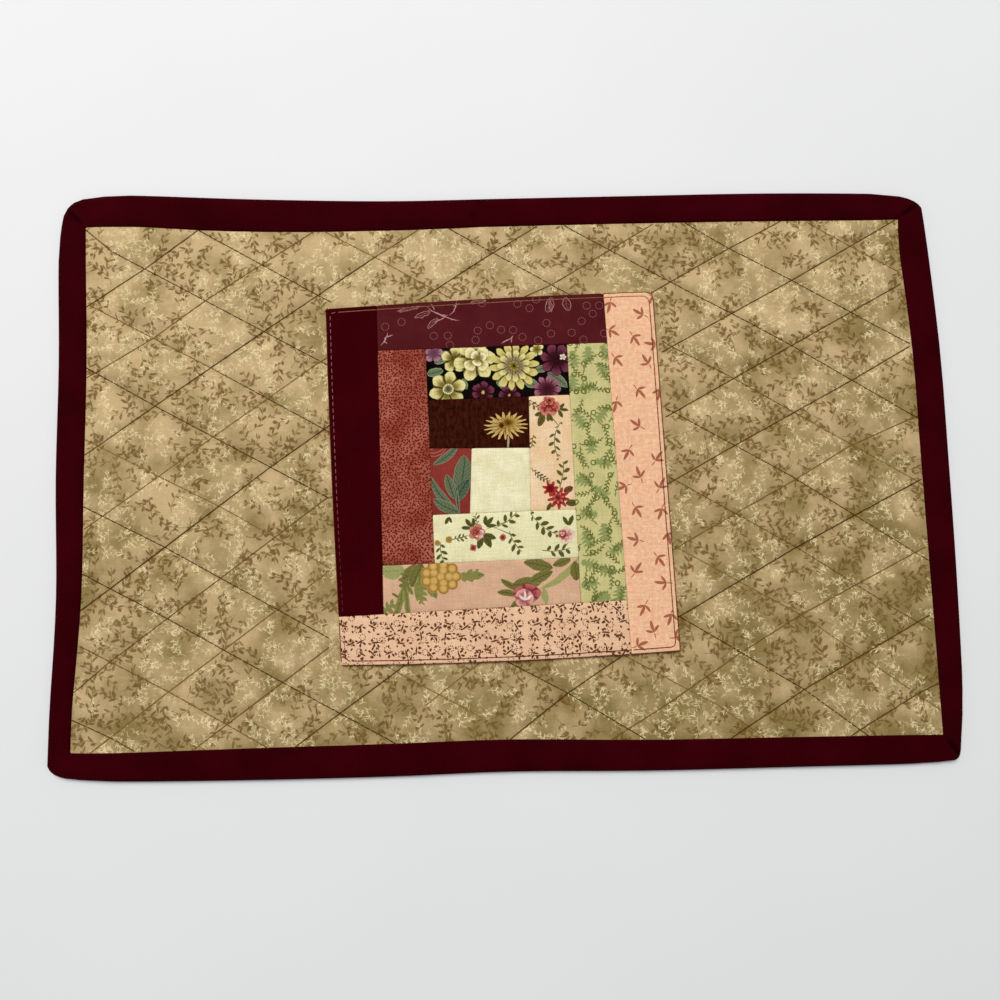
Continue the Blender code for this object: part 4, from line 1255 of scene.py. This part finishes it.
# %% Grounds and hand drawing
# two tones, how wide the clouds are in millimetres, and how far they are stretched each way
GROUNDS = {
    "patch_centre": ("#F3ECC4", "#E9E0B4", 8, 1, 1),
    "strip_left_inner": ("#823028", "#8E3A30", 12, 1, 1),
    "strip_top_inner": ("#280C06", "#42180C", 2.4, 1.5, 0.7),
    "strip_right_inner": ("#ECC698", "#F0D2AA", 12, 1, 1),
    "strip_bottom_inner": ("#EEE8BA", "#E6E0B0", 15, 1, 1),
    "strip_top_middle": ("#0A0706", "#120D0C", 10, 1, 1),
    "strip_left_middle": ("#8E4230", "#AE6450", 14, 1, 1),
    "strip_bottom_middle": ("#DCB290", "#D4A88A", 14, 1, 1),
    "strip_right_middle": ("#D2C88A", "#C6BE80", 12, 1, 1),
    "strip_top_outer": ("#50181C", "#561C20", 12, 1, 1),
    "strip_left_outer": ("#350006", "#3C0008", 25, 1, 1),
    "strip_bottom_outer": ("#EEC4A0", "#E8BC98", 15, 1, 1),
    "strip_right_outer": ("#F1B68E", "#F4C8A2", 2.2, 1, 1)}
# how far printed lines stray, and over what length; twigs and petals are drawn more loosely
STRAYING = {
    "strip_top_outer": (0.75, 2.0), "strip_top_middle": (1.00, 4.5),
    "strip_left_middle": (0.25, 2.0), "strip_bottom_outer": (0.15, 2.0),
    "strip_bottom_middle": (0.80, 4.0), "strip_top_inner": (0.60, 3.0)}
USUAL_STRAYING = (0.40, 3.0)

# %% Dress the scraps
def dress_patch(node):
    """Ground clouds under placed, repeated and strewn motifs, woven into cotton."""
    material, add = new_material(node.replace("strip_", "patch_") + "_printed_cotton")
    place = millimetres(add)
    tone, other, width, *stretch = GROUNDS[node]
    stretched = add("VectorMath.MULTIPLY", place, (*stretch, 0.0))
    cloud = add("MapRange", add("TexNoise", stretched, 1 / width, 3.0), 0.38, 0.62)
    colour = add("Mix", cloud, tone, other, data_type="RGBA")
    drawn_by_hand = wavering(add, place, *STRAYING.get(node, USUAL_STRAYING))
    for motif, x, y, degrees, sizes, inks in PLACED.get(node, ()):
        local = turned_place(add, drawn_by_hand, x, y, degrees)
        colour = print_one(add, local, colour, motif, sizes, inks)
    if node in REPEATED:
        motif, points, sizes, inks = REPEATED[node]
        colour = print_one(add, nearest_of(add, place, points), colour, motif, sizes, inks)
    for motif, spacing, seed, sizes, inks, jitter, part_at in STREWN.get(node, ()):
        local = turned_place(add, strewn(add, drawn_by_hand, spacing, seed, jitter)[0], *part_at)
        colour = print_one(add, local, colour, motif, sizes, inks)
    finish_cotton(add, place, colour, tone=0.11)
    return material


patches, patch_sizes, patch_sides = {}, {}, {}
for node in GROUNDS:
    patches[node], patch_sides[node], *patch_sizes[node] = make_patch(node, dress_patch(node))
    print(node, *(round(size) for size in patch_sizes[node]), "mm")

# %% [markdown]
# ## Stitches
# Every stitch is a short thread that dives into the cloth at both ends, so a small capsule sunk half
# into the cloth is enough to show it. The capsule is made once; each copy is turned to its row and
# set on the cloth that a ray finds under it. A curve would draw the row as one tube, without gaps.

# %% One stitch, and the cloth below it
BLUNT = 1.25                 # widens the capsule's ends, which would otherwise be pointed


def stitch_shape(length, thickness):
    """A low capsule along X, in metres."""
    capsule = bmesh.new()
    bmesh.ops.create_uvsphere(capsule, u_segments=6, v_segments=4, radius=1.0)
    for vertex in capsule.verts:
        if abs(vertex.co.z) > 0.1:
            vertex.co.xy *= BLUNT
    size = Matrix.Diagonal((thickness / 2 * MM, thickness / 2 * MM, length / 2 * MM, 1.0))
    lying = Matrix.Rotation(math.pi / 2, 4, "Y") @ size
    bmesh.ops.transform(capsule, matrix=lying, verts=capsule.verts)
    mesh = bpy.data.meshes.new("one_stitch")
    capsule.to_mesh(mesh)
    capsule.free()
    return mesh


def surface_of(pieces):
    """One search tree over the faces of several pieces."""
    points, faces = [], []
    for piece in pieces:
        first = len(points)
        points += [vertex.co.copy() for vertex in piece.data.vertices]
        faces += [[first + i for i in face.vertices] for face in piece.data.polygons]
    return BVHTree.FromPolygons(points, faces)


def along_row(run, pitch):
    """Evenly spaced points along a run, and the direction at each."""
    length = length_of(run)
    middles = (np.arange(int(length / pitch)) + 0.5) * pitch / length
    ways = along(run, middles + 0.5 / length) - along(run, middles - 0.5 / length)
    return along(run, middles), ways

# %% Lay stitches on a cloth
RAY_START = 0.02             # metres above or below the mat
LOOSE_SINK = 0.08            # millimetres that a loose stitch sinks into the cloth


def setting_on(surface, place, way, side, lift):
    """The matrix that sets a stitch on the cloth at a place, along a way, or None beside it."""
    start = Vector((place[0] * MM, place[1] * MM, RAY_START * side))
    hit, normal, _, _ = surface.ray_cast(start, Vector((0, 0, -side)))
    if hit is None:
        return None
    up = normal if normal.z * side > 0 else -normal
    ahead = Vector((way[0], way[1], 0)).normalized()
    ahead = (ahead - up * ahead.dot(up)).normalized()
    turn = Matrix((ahead, up.cross(ahead), up)).transposed().to_4x4()
    return Matrix.Translation(hit + up * lift * MM) @ turn


def sew(name, rows, surface, material, pitch, length, thickness, side=1, lift=0.05):
    """Lay stitches along rows of (run, shown at each place), on the upper side or, with side -1,
    the lower one, lifted a little off the cloth or sunk into it; returns one piece."""
    shape = stitch_shape(length, thickness)
    thread = bmesh.new()
    shown_layer = thread.verts.layers.float.new("thread_shown")
    count = 0
    for run, shown in rows:
        for place, way in zip(*along_row(run, pitch)):
            strength = shown(place)
            if strength <= 0:
                continue
            sunk = LOOSE_SINK * (1 - strength)
            setting = setting_on(surface, place, way, side, lift - sunk)
            if setting is None:
                continue
            shape.transform(setting)
            first = len(thread.verts)
            thread.from_mesh(shape)
            shape.transform(setting.inverted())
            thread.verts.ensure_lookup_table()
            for vertex in thread.verts[first:]:
                vertex[shown_layer] = strength
            count += 1
    print(name, count, "stitches")
    return smooth_piece(name, thread, material)

# %% [markdown]
# The thread is matt cotton, twisted from fine plies, so it is a little uneven in tone. A loose row
# sinks into the cloth and takes its colour. A vertex attribute says how much of it shows, and one
# material fades between two tones by it.

# %% Thread
TWIST_LENGTH = 2 / 3         # millimetres


def dress_thread(name, dark, faint):
    """Cotton thread that fades from one tone to another where it shows less."""
    material, add = new_material(name)
    shown = add("Attribute", attribute_name="thread_shown").outputs["Fac"]
    colour = add("Mix", shown, faint, dark, data_type="RGBA")
    twist = add("TexNoise", millimetres(add), 1 / TWIST_LENGTH, 2.0)
    colour = add("VectorMath.SCALE", colour, add("MapRange", twist, 0.3, 0.7, 0.8, 1.2))
    relief = add("Bump", sockets={"Strength": 0.5, "Distance": 0.1 * MM, "Height": twist})
    add("OutputMaterial", add("BsdfPrincipled", colour, sockets={
        "Roughness": 0.8, "Specular IOR Level": 0.05, "Normal": relief}))
    return material


quilting_thread = dress_thread("quilting_thread", "#4A3000", "#967438")
topstitch_thread = dress_thread("topstitch_thread", "#5E2A12", "#B08058")
pale_thread = dress_thread("pale_topstitch_thread", "#A8766A", "#501814")

# %% Sew the quilting
# pitch, stitch length and thickness in millimetres
QUILTING = (2.7, 3.5, 0.60)
TOPSTITCHING = (2.6, 3.2, 0.50)
LEFT_TOPSTITCHING = (3.5, 2.5, 0.34)
BACK_SHOWN, BACK_LIFT = 0.7, -0.10


def on_panel(tones, margin=2.0):
    """A test that says how strongly a row shows at a place, and 0 where the block covers it."""
    def shown(place):
        inside = min(*(place - block_low), *(block_high - place))
        return 0.0 if inside > margin else float(tightness_at(tones, place[0]))
    return shown


runs = [np.array(points) - PHOTO_MIDDLE for _, points in QUILTING_ROWS]
panel_surface = surface_of([quilted_cloth])
front_rows = [(run, on_panel(tones)) for run, (tones, _) in zip(runs, QUILTING_ROWS)]
back_rows = [(run, lambda place: BACK_SHOWN) for run in runs]
quilting_front = sew("quilting_stitches_front", front_rows, panel_surface, quilting_thread, *QUILTING)
quilting_back = sew("quilting_stitches_back", back_rows, panel_surface, quilting_thread, *QUILTING,
                    side=-1, lift=BACK_LIFT)

# %% [markdown]
# The block is sewn down by a row just inside its edge, which turns its corners in small curves. The
# strips' own sides give its route, moved inwards, so that it follows their waves. The thread shows
# well on the pale strips, and on the dark left strip only as a few pale stitches.

# %% Route of the topstitching
def inset_run(runs, to_middle):
    """Join runs, and move them towards the block's middle."""
    run = np.vstack(runs)
    steps = along(run, np.linspace(0, 1, 80))
    way = np.gradient(steps, axis=0)
    normal = np.stack([-way[:, 1], way[:, 0]], -1) / np.hypot(*way.T)[:, None]
    inward = np.sign(((block_low + block_high) / 2 - steps[40]) @ normal[40])
    return steps + normal * inward * to_middle


def rounded_loop(inset, corner):
    """A closed row round the block, inset from its edge, with rounded corners."""
    cut = []
    for side, backwards in ROUND_THE_MAT:
        row = inset_run([patch_sides[name][side] for name in BLOCK_EDGES[side]], inset)
        row = row[::-1] if backwards else row
        reach = (inset + corner) / length_of(row)
        cut.append(along(row, np.linspace(reach, 1 - reach, 60)))
    loop = []
    t = np.linspace(0, 1, 9)[1:-1, None]
    for row, after in zip(cut, cut[1:] + cut[:1]):
        way, next_way = row[-1] - row[-2], after[1] - after[0]
        reach = np.linalg.solve(np.stack([way, -next_way], 1), after[0] - row[-1])
        bend = row[-1] + reach[0] * way
        loop += [row, (1 - t) ** 2 * row[-1] + 2 * t * (1 - t) * bend + t ** 2 * after[0]]
    return np.vstack(loop + [cut[0][:1]])


hem_row, edge_row = rounded_loop(inset=2.4, corner=3.0), rounded_loop(inset=0.35, corner=0.3)
print("topstitching", round(length_of(hem_row)), "mm round")

# %% Sew the block down
def shown_by_side(**shares):
    """A test that says how dark the topstitching is, by the edge that is nearest."""
    def shown(place):
        gaps = {"left": place[0] - block_low[0], "right": block_high[0] - place[0],
                "near": place[1] - block_low[1], "far": block_high[1] - place[1]}
        return shares.get(min(gaps, key=gaps.get), 0.0)
    return shown


def shown_on_left(place):
    """Pale thread on the left side only, which shows less and less towards the near end."""
    return shown_by_side(left=1.0)(place) * np.interp(place[1], (-45, -5, 60), (0.15, 0.75, 1.0))


block_surface = surface_of(patches.values())
edge_rows = [(hem_row, shown_by_side(far=0.45, right=0.95, near=1.0)), (edge_row, lambda place: 1.0)]
topstitching = sew("topstitching", edge_rows, block_surface, topstitch_thread, *TOPSTITCHING)
left_topstitching = sew("topstitching_left", [(hem_row, shown_on_left)], block_surface, pale_thread,
                        *LEFT_TOPSTITCHING)

# %% [markdown]
# ## Put every piece on the body
# Each piece rides on the one body and takes the place of its solid, which is hidden. The cloths
# are sheets.

# %% Bodies
def slot_of(node):
    """A patch's slot, named for its place in the block."""
    return node.replace("strip_", "").replace("patch_", "") + "_cotton"


cloths = [(quilted_cloth, "quilted_panel", "quilted_cotton"),
           (folded_binding, "binding", "binding_cotton")]
cloths += [(piece, node, slot_of(node)) for node, piece in patches.items()]
for piece, node, slot in cloths:
    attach(piece, "root")
    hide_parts(node)
for piece, slot in [(quilting_front, "quilting_thread"), (quilting_back, "quilting_thread"),
                    (topstitching, "topstitch_thread"), (left_topstitching, "topstitch_thread")]:
    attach(piece, "root")
print(len(cloths), "cloths and 4 sets of stitches")

# %% [markdown]
# ## Floor, light and camera
# The mat lies on a plain pale table. One wide soft light stands at the far left and a pale sky
# fills the shadows. The camera looks straight down, leaning a little, from 38 cm.

# %% Floor
FLOOR_COLOUR, FLOOR_ROUGHNESS, FLOOR_SHINE = "#EDEEEE", 0.7, 0.2


def make_floor():
    """A wide matt table top with very faint clouds."""
    floor = bmesh.new()
    bmesh.ops.create_grid(floor, x_segments=1, y_segments=1, size=2.0)
    material, add = new_material("matt_table_top")
    cloud = add("MapRange", add("TexNoise", millimetres(add), 1 / 150, 2.0), 0.3, 0.7, 0.98, 1.0)
    colour = add("VectorMath.SCALE", tuple(linear(FLOOR_COLOUR)[:3]), cloud)
    add("OutputMaterial", add("BsdfPrincipled", colour, sockets={
        "Roughness": FLOOR_ROUGHNESS, "Specular IOR Level": FLOOR_SHINE}))
    return smooth_piece("table_top", floor, material)


make_floor()

# %% Lights
LAMP_PLACE, LAMP_SIZE, LAMP_WATTS = (-0.45, 1.10, 1.90), 1.3, 36.5      # metres
SKY_STRENGTH = 0.42
light = bpy.data.lights.new("far_window", "AREA")
light.shape = "DISK"
light.size = LAMP_SIZE
light.energy = LAMP_WATTS
light.color = linear("#FFFDFA")[:3]
lamp = bpy.data.objects.new("far_window", light)
lamp.location = LAMP_PLACE
lamp.rotation_euler = (-Vector(LAMP_PLACE)).to_track_quat("-Z", "Y").to_euler()
bpy.context.scene.collection.objects.link(lamp)
world = bpy.data.worlds.new("pale_room")
world.use_nodes = True
sky = world.node_tree.nodes["Background"].inputs
sky["Color"].default_value = linear("#F4F6FA")
sky["Strength"].default_value = SKY_STRENGTH
bpy.context.scene.world = world
bpy.context.scene.view_settings.view_transform = "Standard"
print("lamp of", LAMP_WATTS, "W,", round(lamp.location.length, 2), "m away")

# %% Camera
SURFACE_HEIGHT = 1.7         # millimetres; the camera was placed for the mat's upper side
CAMERA_PLACE = (-7.399, -53.371, 382.364)      # millimetres from the photo's middle
CAMERA_TURN = (5.789, -0.699, -1.149)          # degrees
camera_data = bpy.data.cameras.new("photo_camera")
camera_data.sensor_width = 36.0
camera_data.lens = 27.0
camera = bpy.data.objects.new("photo_camera", camera_data)
camera.location = (Vector(CAMERA_PLACE) - Vector((*PHOTO_MIDDLE, -SURFACE_HEIGHT))) * MM
camera.rotation_euler = [math.radians(turn) for turn in CAMERA_TURN]
bpy.context.scene.collection.objects.link(camera)
bpy.context.scene.camera = camera
print("camera", round(camera.location.z, 3), "m up")
